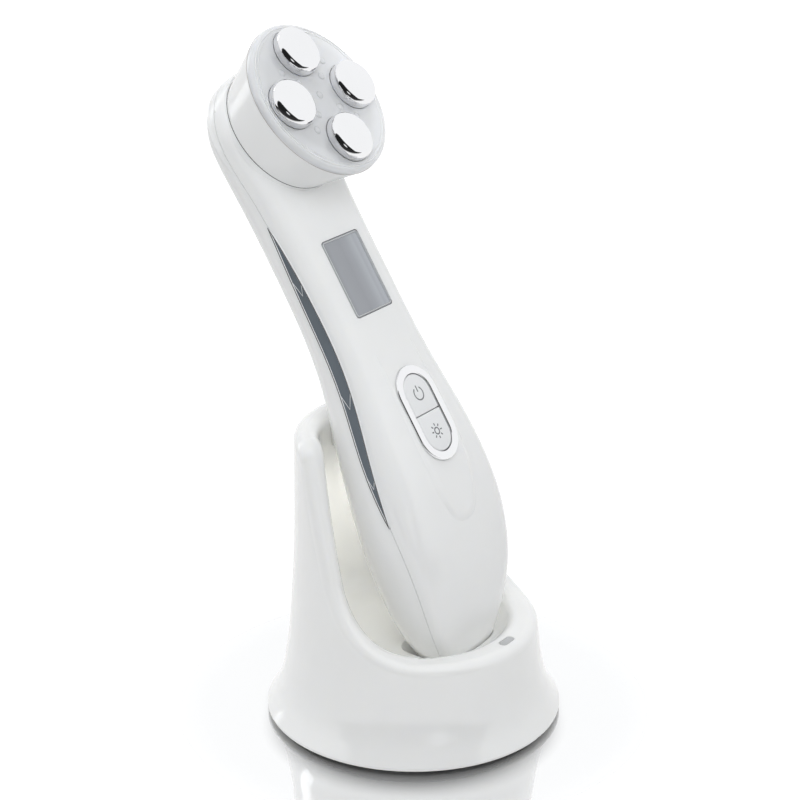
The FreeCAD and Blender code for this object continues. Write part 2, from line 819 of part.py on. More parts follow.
LENS_LIP_RADIUS = ("ring_top_radius - ring_wall - fit_gap - (lens_lip_depth * %s)" % RING_SLOPE)
LENS_TOP = "ring_height + touch_gap + lens_rise"


def head_lens():
    """Make the translucent cap with its locating lip and the electrode seats."""
    body = turned("lens_body", [
        ("0", LENS_TOP + " - lens_skin"),
        (LENS_LIP_RADIUS + " - lens_lip_wall", LENS_TOP + " - lens_skin"),
        (LENS_LIP_RADIUS + " - lens_lip_wall", "ring_height - lens_lip_depth"),
        (LENS_LIP_RADIUS, "ring_height - lens_lip_depth"),
        (LENS_LIP_RADIUS, "ring_height + touch_gap"),
        ("ring_top_radius", "ring_height + touch_gap"),
        ("ring_top_radius", LENS_TOP),
        ("0", LENS_TOP)])
    top = value(LENS_TOP)
    round_edges(body, "lens_edge", "lens_round",
                lambda edge: edge.Closed and abs(edge.BoundBox.ZMin - top) < S.touch_gap
                and edge.BoundBox.ZLength < S.touch_gap)
    holes = []
    for name, turn in ELECTRODE_TURNS.items():
        spot = move(angle=turn).multiply(move(x=S.electrode_pitch))
        holes.append(primitive("Cylinder", "lens_seat_" + name, spot.multiply(move(z=top - S.electrode_seat)),
                               Radius="electrode_radius + fit_gap", Height="overrun"))
        holes.append(primitive("Cylinder", "lens_hole_" + name, spot,
                               Radius="stud_radius + fit_gap", Height="ring_height + overrun"))
    piece(cut("lens_cut", body, *holes), "head_lens", HEAD)


BOARD_UNDERSIDE = "ring_height - led_board_depth - led_board_thickness"


def electrodes():
    """Make the four electrodes: a button with a rounded rim on a long stud."""
    base = LENS_TOP + " - electrode_seat + touch_gap"
    tail = BOARD_UNDERSIDE + " - nut_height - stud_tail"
    for name, turn in ELECTRODE_TURNS.items():
        body = turned("electrode_body_" + name, [
            ("0", tail),
            ("stud_radius", tail),
            ("stud_radius", base),
            ("electrode_radius", base),
            ("electrode_radius", base + " + electrode_height + electrode_seat"),
            ("0", base + " + electrode_height + electrode_seat")])
        top = value(base) + S.electrode_height + S.electrode_seat
        round_edges(body, "electrode_rim_" + name, "electrode_round",
                    lambda edge, top=top: edge.Closed and abs(edge.BoundBox.ZMin - top) < S.touch_gap)
        spot = move(angle=turn).multiply(move(x=S.electrode_pitch))
        piece(body, "electrode_" + name, HEAD.multiply(spot))


def electrode_nuts():
    """Make the four nuts behind the light board."""
    corner = "nut_across / 1.7320508"
    prism = primitive("Prism", "nut_prism", Circumradius=corner, Height="nut_height")
    hole = primitive("Cylinder", "nut_hole", move(z=-S.overrun / 2),
                     Radius="stud_radius + touch_gap", Height="nut_height + overrun")
    nut = cut("nut_pattern", prism, hole)
    low = value(BOARD_UNDERSIDE) - S.nut_height - S.touch_gap
    places = [move(angle=turn).multiply(move(x=S.electrode_pitch, z=low)) for turn in ELECTRODE_TURNS.values()]
    group("electrode_nuts", nut, places, HEAD)


def light_board():
    """Make the round board in the head and the lights on it."""
    body = plate("light_board_body", "led_board_thickness",
                 radius="ring_top_radius - ring_wall - seat_gap - (led_board_depth + led_board_thickness) * "
                        + RING_SLOPE)
    drill(body, "light_board_holes", "stud_radius + fit_gap",
          [("electrode_pitch", "0"), ("-electrode_pitch", "0"), ("0", "electrode_pitch"),
           ("0", "-electrode_pitch")])
    low = value(BOARD_UNDERSIDE)
    piece(body, "led_board", HEAD.multiply(move(z=low)))

    foot = low + S.led_board_thickness
    tip = value(LENS_TOP) - S.lens_skin - S.fit_gap
    lamp = bar(S.led_radius, tip - foot - S.led_radius, move(z=foot))
    lamp = lamp.fuse(Part.makeSphere(S.led_radius, Vector(0, 0, tip - S.led_radius)))
    lamps = [lamp]
    for turn in QUARTERS:
        for pitch in (S.led_inner_pitch, S.led_outer_pitch):
            copy = lamp.copy()
            copy.Placement = move(angle=turn).multiply(move(x=pitch))
            lamps.append(copy)
    solid_feature("leds", Part.makeCompound(lamps), HEAD)


# Display and buttons

LCD_BACK = S.lcd_recess + S.lcd_window_thickness


def display():
    """Make the window, the panel behind it and the holder on the board."""
    gap = S.touch_gap
    window = rounded_slab(S.lcd_half_width - gap, S.lcd_half_height - gap, S.lcd_corner - gap,
                          S.lcd_recess, LCD_BACK)
    solid_feature("lcd_window", window, HANDSET)
    panel_from = S.shell_wall + S.seat_gap
    panel_to = panel_from + S.lcd_panel_thickness
    margin = S.lcd_panel_margin
    panel = rounded_slab(S.lcd_half_width + margin, S.lcd_half_height + margin, 0, panel_from, panel_to)
    step = rounded_slab(S.lcd_half_width - S.lcd_corner, S.lcd_half_height - S.lcd_corner, 0,
                        LCD_BACK + gap, panel_from)
    solid_feature("lcd_panel", panel.fuse(step), HANDSET)
    frame = rounded_slab(S.lcd_half_width + margin, S.lcd_half_height + margin, 0, panel_to + gap, S.board_depth)
    hollow = rounded_slab(S.lcd_half_width + margin - S.lcd_holder_wall,
                          S.lcd_half_height + margin - S.lcd_holder_wall, 0, panel_to, S.board_depth)
    solid_feature("lcd_holder", frame.cut(hollow), HANDSET)


def button_ring():
    """Make the bright oval ring round the two buttons."""
    at = on_face(0, S.button_height, RING_FLOOR)
    outer = slot("ring_outer", "ring_half_width", "ring_half_length", "ring_thickness", Placement())
    hole = slot("ring_hole", "ring_half_width - ring_band", "ring_half_length - ring_band",
                "ring_thickness + overrun", move(z=-S.overrun / 2))
    piece(cut("ring_cut", outer, hole), "button_ring", HANDSET.multiply(at))


def buttons():
    """Make the two half-oval buttons with their flanges, their stems and the switches behind."""
    face = -S.tongue_rise - S.button_proud
    flange_top = S.shell_wall + S.seat_gap
    flange_floor = flange_top + S.button_flange_thickness
    at = on_face(0, S.button_height, flange_floor)
    for name, side in (("power", 1), ("light", -1)):
        cap = slot(name + "_cap", "ring_half_width - ring_band - slide_gap",
                   "ring_half_length - ring_band - slide_gap",
                   "shell_wall + seat_gap + button_flange_thickness + tongue_rise + button_proud", Placement())
        flange = slot(name + "_flange", "ring_half_width - ring_band + button_flange",
                      "ring_half_length - ring_band + button_flange", "button_flange_thickness", Placement())
        whole = joined(name + "_whole", cap, flange)
        shift = side * (S.ring_half_length / 2 + S.button_split / 2)
        keep = block(name + "_half", "2 * ring_half_width", "ring_half_length",
                     "shell_wall + ring_thickness + overrun", move(y=shift))
        half = doc.addObject("Part::Common", name + "_half_cap")
        half.Base = whole
        half.Tool = keep
        piece(half, name + "_button", HANDSET.multiply(at))

        switch_top = S.board_depth - S.switch_height
        spot = S.button_height + side * S.switch_spread
        body = block(name + "_switch_body", "2 * switch_half_width", "2 * switch_half_width", "switch_height",
                     Placement())
        well = primitive("Cylinder", name + "_switch_well",
                         move(z=S.switch_height - S.stem_engagement - S.button_travel - S.seat_gap),
                         Radius="stem_radius + slide_gap", Height="switch_height")
        piece(cut(name + "_switch_cut", body, well), name + "_switch",
              HANDSET.multiply(on_face(0, spot, S.board_depth - S.touch_gap)))
        stem = primitive("Cylinder", name + "_stem_bar", Radius="stem_radius",
                         Height="board_depth - switch_height + stem_engagement - shell_wall - seat_gap"
                                " - button_flange_thickness - touch_gap")
        piece(stem, name + "_stem", HANDSET.multiply(on_face(0, spot, switch_top + S.stem_engagement)))


# Inside the handset

def electronics():
    """Make the main board, its screws, the cell and the output transformer."""
    half = "board_half_width"
    length = "board_top_height - board_foot_height"
    body = plate("main_board_body", "board_thickness",
                 points=[("-" + half, "0"), (half, "0"), (half, length), ("-" + half, length)])
    inset = "board_half_width - board_post_inset"
    far = length + " - board_post_inset"
    drill(body, "main_board_holes", "bolt_radius + fit_gap",
          [(inset, "board_post_inset"), ("-(%s)" % inset, "board_post_inset"), (inset, far),
           ("-(%s)" % inset, far)])
    piece(body, "main_board", HANDSET.multiply(
        on_face(0, S.board_foot_height, S.board_depth + S.board_thickness)))

    pattern = turned("board_screw_pattern", [
        ("0", "board_thickness - bolt_grip"),
        ("bolt_radius - touch_gap", "board_thickness - bolt_grip"),
        ("bolt_radius - touch_gap", "board_thickness"),
        ("bolt_head_radius", "board_thickness"),
        ("bolt_head_radius", "board_thickness + bolt_head_height"),
        ("0", "board_thickness + bolt_head_height")])
    places = [move(x, S.board_depth + S.touch_gap, height, X_AXIS, -90) for x, height in board_spots()]
    group("board_screws", pattern, places, HANDSET)

    cell = primitive("Box", "cell_box", Length="2 * cell_half_width", Width="cell_thickness", Height="cell_length")
    piece(cell, "battery", HANDSET.multiply(
        move(-S.cell_half_width, S.board_depth + S.board_thickness + S.touch_gap, S.cell_foot_height)))

    core = turned("coil_profile", [
        ("0", "0"),
        ("coil_radius", "0"),
        ("coil_radius", "coil_flange"),
        ("coil_core_radius", "coil_flange"),
        ("coil_core_radius", "coil_thickness - coil_flange"),
        ("coil_radius", "coil_thickness - coil_flange"),
        ("coil_radius", "coil_thickness"),
        ("0", "coil_thickness")])
    at = move(0, S.board_depth + S.board_thickness + S.touch_gap, S.coil_height, X_AXIS, -90)
    piece(core, "rf_core", HANDSET.multiply(at))
    winding = turned("winding_profile", [
        ("coil_core_radius + touch_gap", "coil_flange + touch_gap"),
        ("coil_radius - touch_gap", "coil_flange + touch_gap"),
        ("coil_radius - touch_gap", "coil_thickness - coil_flange - touch_gap"),
        ("coil_core_radius + touch_gap", "coil_thickness - coil_flange - touch_gap")])
    piece(winding, "rf_winding", HANDSET.multiply(at))


def contacts():
    """Make the two charge contacts let into the handset's flat."""
    for label, place in zip(("contact_left", "contact_right"), contact_places()):
        disc = primitive("Cylinder", label + "_disc", Radius="contact_radius", Height="contact_thickness")
        piece(disc, label, place)


# Stand

def stand_profile(inset, top_height):
    """Draw the stand's outside in plan radius and height, from its skirt to a height above the rim."""
    skirt = S.foot_height + S.stand_edge_round + S.stand_skirt_height
    points = []
    for up, out in zip(FLARE_HEIGHT_SHARES, FLARE_RADIUS_SHARES):
        points.append(Vector(S.stand_waist_radius + (S.stand_base_radius - S.stand_waist_radius) * out - inset, 0,
                             skirt + (S.stand_rim_height - skirt) * up))
    for up, out in zip(TOWER_HEIGHT_SHARES, TOWER_RADIUS_SHARES):
        points.append(Vector(S.stand_top_radius + (S.stand_waist_radius - S.stand_top_radius) * out - inset, 0,
                             S.stand_rim_height + (top_height - S.stand_rim_height) * up))
    curve = Part.BSplineCurve()
    curve.interpolate(points)
    return curve.toShape(), points


def spun(edges):
    """Turn a closed profile about Z."""
    face = Part.Face(Part.Wire(Part.__sortEdges__(edges)))
    return face.revolve(Vector(0, 0, 0), Z_AXIS, 360)


@functools.lru_cache(maxsize=None)
def stand_outer():
    """Make the full outside form of the stand before it is opened."""
    side, points = stand_profile(0, S.stand_top_height)
    low = S.foot_height
    radius = S.stand_base_radius
    edge = S.stand_edge_round
    top = Vector(0, 0, S.stand_top_height)
    bend = Part.Arc(Vector(radius - edge, 0, low), Vector(radius - edge * (1 - math.sqrt(0.5)), 0,
                    low + edge * (1 - math.sqrt(0.5))), Vector(radius, 0, low + edge))
    edges = [Part.makeLine(Vector(0, 0, low), Vector(radius - edge, 0, low)), bend.toShape(),
             Part.makeLine(Vector(radius, 0, low + edge), points[0]), side,
             Part.makeLine(points[-1], top), Part.makeLine(top, Vector(0, 0, low))]
    return spun(edges)


def stand_bowl():
    """Make the round space inside the stand's wall."""
    foot = Vector(S.stand_waist_radius - S.stand_wall, 0, S.dish_height + S.dish_round)
    head = Vector(S.stand_top_radius - S.stand_wall, 0, S.stand_top_height + S.overrun)
    floor = Vector(foot.x - S.dish_round, 0, S.dish_height)
    half = math.sqrt(0.5)
    middle = Vector(floor.x + S.dish_round * half, 0, S.dish_height + S.dish_round * (1 - half))
    edges = [Part.makeLine(Vector(0, 0, S.dish_height), floor), Part.Arc(floor, middle, foot).toShape(),
             Part.makeLine(foot, head), Part.makeLine(head, Vector(0, 0, head.z)),
             Part.makeLine(Vector(0, 0, head.z), Vector(0, 0, S.dish_height))]
    return spun(edges)


def stand_cavity():
    """Make the hollow under the stand's floor."""
    side, points = stand_profile(S.stand_skin, S.stand_top_height)
    low = S.foot_height - S.overrun
    high = S.stand_top_height
    edges = [Part.makeLine(Vector(0, 0, low), Vector(points[0].x, 0, low)),
             Part.makeLine(Vector(points[0].x, 0, low), points[0]), side,
             Part.makeLine(points[-1], Vector(0, 0, high)), Part.makeLine(Vector(0, 0, high), Vector(0, 0, low))]
    ceiling = S.dish_height - S.stand_skin
    reach = S.stand_base_radius + S.overrun
    return spun(edges).common(bar(reach, ceiling + S.overrun, move(z=-S.overrun)))


def rim_cutter():
    """Make the space in front of and above the J-shaped rim."""
    lean = math.radians(column_lean_angle())
    front = -S.stand_base_radius - S.overrun
    rim = S.stand_rim_height
    bend_z = rim + S.rim_rise
    bend_y = S.column_front - (S.stand_top_height - bend_z) * math.tan(lean)
    points = [Vector(0, front, rim), Vector(0, bend_y, bend_z), Vector(0, S.column_front, S.stand_top_height)]
    low = rounded_corner(points[0], points[1], points[2], S.rim_bend_radius)
    back = Vector(0, S.stand_base_radius, S.stand_top_height)
    high = rounded_corner(points[1], points[2], back, S.column_corner_radius)
    sky = S.stand_top_height + S.overrun
    edges = [Part.makeLine(points[0], low[0]), low[1], Part.makeLine(low[2], high[0]), high[1],
             Part.makeLine(high[2], Vector(0, high[2].y, sky)),
             Part.makeLine(Vector(0, high[2].y, sky), Vector(0, front, sky)),
             Part.makeLine(Vector(0, front, sky), points[0])]
    face = Part.Face(Part.Wire(Part.__sortEdges__(edges)))
    half = S.stand_base_radius + S.overrun
    face.translate(Vector(-half, 0, 0))
    return face.extrude(Vector(2 * half, 0, 0))


def column_lean_angle():
    """Give the lean of the column's front edge from upright, in degrees."""
    return math.degrees(math.atan2(S.column_lean, S.stand_top_height - S.stand_rim_height))


def rounded_corner(start, corner, end, radius):
    """Round a corner between two lines: the two ends of the arc and the arc itself."""
    into = (start - corner).normalize()
    out = (end - corner).normalize()
    half = into.getAngle(out) / 2
    reach = radius / math.tan(half)
    middle = corner + (into + out).normalize() * (radius / math.sin(half) - radius)
    first = corner + into * reach
    last = corner + out * reach
    return first, Part.Arc(first, middle, last).toShape(), last


def pocket_sections():
    """Measure the handset's slices at the pocket and grow them so that it lifts straight out."""
    docked = OUTER.cut(contact_flat())
    docked.Placement = HANDSET
    low = S.contact_flat_height
    heights = [low + S.touch_gap, (low + S.dish_height) / 2, S.dish_height, S.dish_height + S.dish_round / 2]
    half = front = back = None
    sections = []
    for height in heights:
        box = Part.makeCompound(docked.slice(Z_AXIS, height)).BoundBox
        half = box.XMax if half is None else max(half, box.XMax)
        front = box.YMin if front is None else min(front, box.YMin)
        back = box.YMax if back is None else max(back, box.YMax)
        sections.append((height, half, front, back))
    return sections


POCKET = pocket_sections()


def pocket_solid(grow, floor):
    """Make the pocket that holds the handset's tip, from a floor up past the dish."""
    wires = []
    heights = [floor] + [section[0] for section in POCKET[1:]]
    for height, (_, half, front, back) in zip(heights, POCKET):
        points = []
        centre = (front + back) / 2
        for step in range(2 * HALF_SECTION_STEPS):
            angle = math.pi * step / HALF_SECTION_STEPS
            across = abs(math.cos(angle) / (half + grow)) ** FRONT_SQUARENESS
            along = abs(math.sin(angle) / ((back - front) / 2 + grow)) ** FRONT_SQUARENESS
            reach = (across + along) ** (-1 / FRONT_SQUARENESS)
            points.append(Vector(reach * math.cos(angle), centre + reach * math.sin(angle), height))
        curve = Part.BSplineCurve()
        curve.interpolate(Points=points, PeriodicFlag=True)
        wires.append(Part.Wire([curve.toShape()]))
    return Part.makeLoft(wires, True, True)


POCKET_FLOOR = S.contact_flat_height - S.seat_gap
HOLDER_TOP = POCKET_FLOOR - S.pocket_wall


def quarter_spots(radius):
    """List four places between the axes at a radius."""
    return [Vector(radius * math.cos(math.radians(turn)), radius * math.sin(math.radians(turn)), 0)
            for turn in QUARTERS]


PLATE_LOW = S.foot_height + S.base_plate_inset
PLATE_TOP = PLATE_LOW + S.base_plate_thickness
BOARD_LOW = PLATE_TOP + S.charge_board_post_height
JACK_LOW = BOARD_LOW + S.board_thickness
JACK_CENTRE = JACK_LOW + S.jack_height / 2


def back_rest():
    """Make the pad inside the column that the handset's back leans on."""
    docked = handset_solid(-S.seat_gap)
    docked.Placement = HANDSET
    depth = S.stand_top_radius
    pad = Part.makeBox(2 * S.rest_half_width, depth, S.rest_top_height - S.rest_foot_height,
                       Vector(-S.rest_half_width, 0, S.rest_foot_height))
    return pad.cut(docked).common(stand_outer())


def stand_shell():
    """Make the stand: a flared tower opened at the front, with a pocket and a hollow underside."""
    skin = stand_outer().cut(stand_bowl())
    rest = back_rest()
    skin = skin.cut(rim_cutter())
    skin = rounded_lip(largest(skin))
    skin = skin.fuse(largest(rest.cut(rim_cutter())))
    keep = pocket_solid(S.pocket_gap + S.pocket_wall, HOLDER_TOP)
    cavity = stand_cavity().cut(keep)
    for spot in quarter_spots(S.base_screw_pitch_radius):
        boss = Part.makeCylinder(S.base_boss_radius, S.stand_top_height, Vector(spot.x, spot.y, PLATE_TOP))
        cavity = cavity.cut(boss)
    shape = skin.cut(cavity).cut(pocket_solid(S.pocket_gap, POCKET_FLOOR))
    for place in contact_places():
        shape = shape.cut(bar(S.pin_tip_radius + S.slide_gap, S.stand_rim_height,
                              Placement(Vector(place.Base.x, place.Base.y, PLATE_TOP), Rotation())))
    for spot in quarter_spots(S.base_screw_pitch_radius):
        shape = shape.cut(Part.makeCylinder(S.bolt_radius, S.base_screw_length,
                                            Vector(spot.x, spot.y, PLATE_TOP - S.overrun)))
    inlet = Part.makeCylinder(S.jack_snout_radius + S.fit_gap, S.stand_base_radius,
                              Vector(0, S.jack_back - S.jack_length / 2, JACK_CENTRE), Y_AXIS)
    light = indicator_shape(S.fit_gap, S.stand_rim_height)
    solid_feature("stand_shell", largest(shape.cut(inlet).cut(light)), STAND)


def rounded_lip(shape):
    """Round both edges of the rim."""
    low = S.stand_rim_height - S.overrun
    return softened(shape, S.stand_lip_round,
                    [edge for edge in shape.Edges if edge.BoundBox.ZMin > low and edge.Length > S.overrun])


def indicator_shape(grow, height):
    """Make the oval light pipe's form, grown by a gap."""
    low = S.stand_rim_height - S.indicator_depth
    reach = S.indicator_half_width - S.indicator_half_depth
    shape = Part.makeBox(2 * reach, 2 * (S.indicator_half_depth + grow), height,
                         Vector(-reach, -S.indicator_setback - S.indicator_half_depth - grow, low))
    for side in (-1, 1):
        shape = shape.fuse(Part.makeCylinder(S.indicator_half_depth + grow, height,
                                             Vector(side * reach, -S.indicator_setback, low)))
    return shape.removeSplitter()


def indicator():
    """Make the charge light's pipe in the rim and the light below it."""
    solid_feature("charge_indicator", indicator_shape(0, S.indicator_depth + S.indicator_rise), STAND)
    low = S.stand_rim_height - S.indicator_depth - S.touch_gap - S.indicator_led_length
    lamp = primitive("Cylinder", "indicator_lamp", Radius="indicator_led_radius", Height="indicator_led_length")
    piece(lamp, "indicator_led", move(y=-S.indicator_setback, z=low))


def base():
    """Make the base plate, its screws and the feet."""
    reach = ("stand_waist_radius + (stand_base_radius - stand_waist_radius) * %s - stand_skin - seat_gap"
             % PLATE_REACH_SHARE)
    body = plate("base_plate_body", "base_plate_thickness", radius=reach)
    across = "base_screw_pitch_radius / 1.4142136"
    far = "foot_pitch_radius / 1.4142136"
    drill(body, "base_screw_holes", "bolt_radius + fit_gap",
          [(a + across, b + across) for a in ("", "-") for b in ("", "-")])
    drill(body, "base_foot_holes", "foot_plug_radius + fit_gap",
          [(a + far, b + far) for a in ("", "-") for b in ("", "-")])
    posts = [primitive("Cylinder", "board_post", move(x, y, S.base_plate_thickness - S.touch_gap),
                       Radius="charge_board_post_radius", Height="charge_board_post_height")
             for x in charge_board_columns() for y in charge_board_rows()]
    piece(joined("base_plate_posts", body, *posts), "base_plate", move(z=PLATE_LOW))

    foot = turned("foot_pattern", [
        ("0", "0"),
        ("foot_radius - foot_round", "0"),
        ("foot_radius", "foot_round"),
        ("foot_radius", "foot_height + base_plate_inset - touch_gap"),
        ("foot_plug_radius", "foot_height + base_plate_inset - touch_gap"),
        ("foot_plug_radius", "foot_height + base_plate_inset + foot_plug_height"),
        ("0", "foot_height + base_plate_inset + foot_plug_height")])
    group("rubber_feet", foot, [Placement(spot, Rotation()) for spot in quarter_spots(S.foot_pitch_radius)], STAND)

    screw = turned("base_screw_pattern", [
        ("0", "-bolt_head_height"),
        ("bolt_head_radius", "-bolt_head_height"),
        ("bolt_head_radius", "-touch_gap"),
        ("bolt_radius - touch_gap", "-touch_gap"),
        ("bolt_radius - touch_gap", "base_screw_length - overrun"),
        ("0", "base_screw_length - overrun")])
    places = [Placement(spot + Vector(0, 0, PLATE_LOW), Rotation())
              for spot in quarter_spots(S.base_screw_pitch_radius)]
    group("base_screws", screw, places, STAND)


def charge_board_columns():
    """List where the charge board's posts stand across the stand."""
    reach = S.charge_board_half_width - S.board_post_inset
    return (-reach, reach)


def charge_board_rows():
    """List where the charge board's posts stand along the stand."""
    return (S.charge_board_front + S.board_post_inset, S.charge_board_back - S.board_post_inset)


def charging():
    """Make the charge board, the inlet on it, the pin holder, its pins and their springs."""
    board = primitive("Box", "charge_board_box", Length="2 * charge_board_half_width",
                      Width="charge_board_back - charge_board_front", Height="board_thickness")
    piece(board, "charge_board", move(-S.charge_board_half_width, S.charge_board_front, BOARD_LOW))

    box = block("jack_box", "2 * jack_half_width", "jack_length", "jack_height",
                move(y=S.jack_back - S.jack_length / 2))
    along = move(y=S.jack_back, z=S.jack_height / 2, axis=X_AXIS, angle=-90)
    mouth = stand_radius_at(JACK_CENTRE) - S.seat_gap - S.jack_back
    snout = primitive("Cylinder", "jack_snout", along, Radius="jack_snout_radius")
    snout.Height = mouth
    bore = primitive("Cylinder", "jack_bore", along.multiply(move(z=mouth - S.jack_bore_depth)),
                     Radius="jack_bore_radius", Height="jack_bore_depth + overrun")
    pin = primitive("Cylinder", "jack_pin", along.multiply(move(z=mouth - S.jack_bore_depth - S.touch_gap)),
                    Radius="jack_pin_radius", Height="jack_bore_depth - seat_gap")
    hollow = cut("jack_hollow", joined("jack_outside", box, snout), bore)
    piece(joined("jack_whole", hollow, pin), "dc_jack", move(z=JACK_LOW + S.touch_gap))

    holder_low = HOLDER_TOP - S.touch_gap - S.pin_holder_height
    holder = block("pin_holder_block", "2 * pin_holder_half_width", "2 * pin_holder_half_depth", "pin_holder_height",
                   Placement())
    wells = [primitive("Cylinder", "pin_well", move(x=side * S.contact_half_pitch, z=S.pin_holder_floor),
                       Radius="pin_shoulder_radius + slide_gap", Height="pin_holder_height") for side in (-1, 1)]
    piece(cut("pin_holder_cut", holder, *wells), "pin_holder", move(y=-S.contact_setback, z=holder_low))

    shoulder_top = HOLDER_TOP - S.fit_gap - S.touch_gap
    spring_floor = holder_low + S.pin_holder_floor + S.touch_gap
    spring_top = shoulder_top - S.pin_shoulder_height - S.touch_gap
    tip = "seat_gap + pocket_wall + fit_gap"
    for label, side in (("left", -1), ("right", 1)):
        x = side * S.contact_half_pitch
        pin = turned("charge_pin_body_" + label, [
            ("0", "-pin_shoulder_height"),
            ("pin_shoulder_radius", "-pin_shoulder_height"),
            ("pin_shoulder_radius", "0"),
            ("pin_tip_radius", "0"),
            ("pin_tip_radius", tip + " - pin_tip_radius / 2"),
            ("pin_tip_radius / 2", tip),
            ("0", tip)])
        piece(pin, "charge_pin_" + label, move(x, -S.contact_setback, shoulder_top))
        spring = spring_solid(spring_top - spring_floor)
        solid_feature("pin_spring_" + label, spring, move(x, -S.contact_setback, spring_floor))


def spring_solid(length):
    """Make a small coil spring that fills a length."""
    wire = S.spring_wire / 2
    rise = length - S.spring_wire
    helix = Part.makeHelix(rise / SPRING_TURNS, rise, S.spring_coil_radius)
    turns = [2 * math.pi * side / SPRING_SIDES for side in range(SPRING_SIDES)]
    corners = [Vector(S.spring_coil_radius + wire * math.cos(turn), 0, wire * math.sin(turn)) for turn in turns]
    coil = Part.Wire(helix).makePipeShell([Part.makePolygon(corners + corners[:1])], True, True)
    coil.translate(Vector(0, 0, wire))
    return coil


def stand_radius_at(height):
    """Measure the stand's outside radius at a height."""
    probe = Part.makeLine(Vector(0, 0, height), Vector(S.stand_base_radius + S.overrun, 0, height))
    return stand_outer().common(probe).BoundBox.XMax


def centre_on_floor():
    """Move every piece so that the whole stands centred on the floor."""
    doc.recompute()
    box = FreeCAD.BoundBox()
    for item in PIECES:
        box.add(item.Shape.optimalBoundingBox(False))
    shift = move(-box.Center.x, -box.Center.y, -box.ZMin)
    for item in PIECES:
        item.Placement = shift.multiply(item.Placement)
    doc.recompute()


def export():
    """Check every object and write one file for each piece."""
    for item in doc.Objects:
        if {"Invalid", "Error"} & set(item.State):
            raise RuntimeError("%s is not built: %s" % (item.Label, item.State))
    os.makedirs("parts", exist_ok=True)
    for item in PIECES:
        if item.Shape.isNull() or not item.Shape.isValid() or not item.Shape.Solids:
            raise RuntimeError("%s has no valid solid" % item.Label)
        item.Shape.exportStep("parts/%s.step" % item.Label)


shells()
shell_fasteners()
side_trims()
head_ring()
head_lens()
electrodes()
electrode_nuts()
light_board()
display()
button_ring()
buttons()
electronics()
contacts()
stand_shell()
indicator()
base()
charging()
centre_on_floor()
export()
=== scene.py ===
"""Looks of a facial care handset leaning in its charging stand: finishes, small pieces, light and camera."""

import json
import logging
import math
from dataclasses import dataclass
from enum import Enum
from typing import Sequence

import bmesh
import bpy
from mathutils import Matrix, Vector


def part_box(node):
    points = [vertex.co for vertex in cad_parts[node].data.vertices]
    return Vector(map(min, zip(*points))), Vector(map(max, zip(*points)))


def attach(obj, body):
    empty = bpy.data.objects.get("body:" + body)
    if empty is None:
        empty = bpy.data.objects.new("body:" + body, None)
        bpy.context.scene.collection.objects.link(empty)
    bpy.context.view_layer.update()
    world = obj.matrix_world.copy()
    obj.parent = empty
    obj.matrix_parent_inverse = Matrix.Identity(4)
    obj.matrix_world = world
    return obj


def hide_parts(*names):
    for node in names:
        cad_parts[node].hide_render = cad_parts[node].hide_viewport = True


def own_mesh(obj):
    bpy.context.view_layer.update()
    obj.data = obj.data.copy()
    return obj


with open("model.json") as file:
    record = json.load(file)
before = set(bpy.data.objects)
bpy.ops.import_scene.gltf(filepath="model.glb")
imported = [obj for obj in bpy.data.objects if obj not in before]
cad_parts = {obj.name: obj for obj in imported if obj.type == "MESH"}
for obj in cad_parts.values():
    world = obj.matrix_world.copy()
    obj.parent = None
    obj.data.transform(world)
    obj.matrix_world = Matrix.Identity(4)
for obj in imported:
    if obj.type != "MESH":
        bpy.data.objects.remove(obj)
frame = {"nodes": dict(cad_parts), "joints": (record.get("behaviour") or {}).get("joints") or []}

LOG = logging.getLogger("scene")
MM = 0.001
WELD_M = 1e-7
NODE_WELD_M = 1e-6
ON_AXIS_MM = 1e-6
SOFT_EDGE_DEG = 32.0
MITRE_LEAST = 0.5
BEAD_SIDES = 20

Outline = list[tuple[float, float]]
Span = tuple[float, float]
Triple = tuple[float, float, float]
Socket = bpy.types.NodeSocket
Mesh = bpy.types.Mesh
Piece = bpy.types.Object
Shape = bmesh.types.BMesh


# Working frames on the object

@dataclass(frozen=True)
class Datum:
    """A working frame on the object: an origin and three axes, in the row frame."""

    origin: Vector
    across: Vector
    up: Vector
    out: Vector

    def point(self, x: float, y: float, z: float = 0.0) -> Vector:
        """Give a place in the row frame from local millimetres."""
        return self.origin + (self.across * x + self.up * y + self.out * z) * MM

    def turn(self) -> Matrix:
        """Give the turn alone from local millimetres to the row frame."""
        return (Matrix((self.across, self.up, self.out)).transposed() * MM).to_4x4()

    def matrix(self) -> Matrix:
        """Give the turn and shift from local millimetres to the row frame."""
        return Matrix.Translation(self.origin) @ self.turn()

    def span(self, node: str) -> tuple[Vector, Vector]:
        """Measure a node along this frame's axes.

        Args:
            node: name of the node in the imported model.

        Returns:
            The lowest and the highest corner, in local millimetres.
        """
        axes = (self.across, self.up, self.out)
        spots = [vertex.co - self.origin for vertex in frame["nodes"][node].data.vertices]
        low = Vector([min(spot.dot(axis) for spot in spots) / MM for axis in axes])
        high = Vector([max(spot.dot(axis) for spot in spots) / MM for axis in axes])
        return low, high


def centre(node: str) -> Vector:
    """Give the middle of a node's box."""
    low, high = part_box(node)
    return (low + high) / 2


def face_datum(node: str) -> Datum:
    """Make a frame on the handset's front face, centred on a node.

    Args:
        node: the node in whose middle the frame starts.

    Returns:
        A frame whose first axis runs across, second up the handset, third out of the face.
    """
    press = next(joint for joint in frame["joints"] if joint["name"] == "power_press")
    out = -Vector(press["axis"]).normalized()
    across = Vector((1, 0, 0))
    return Datum(centre(node), across, out.cross(across), out)


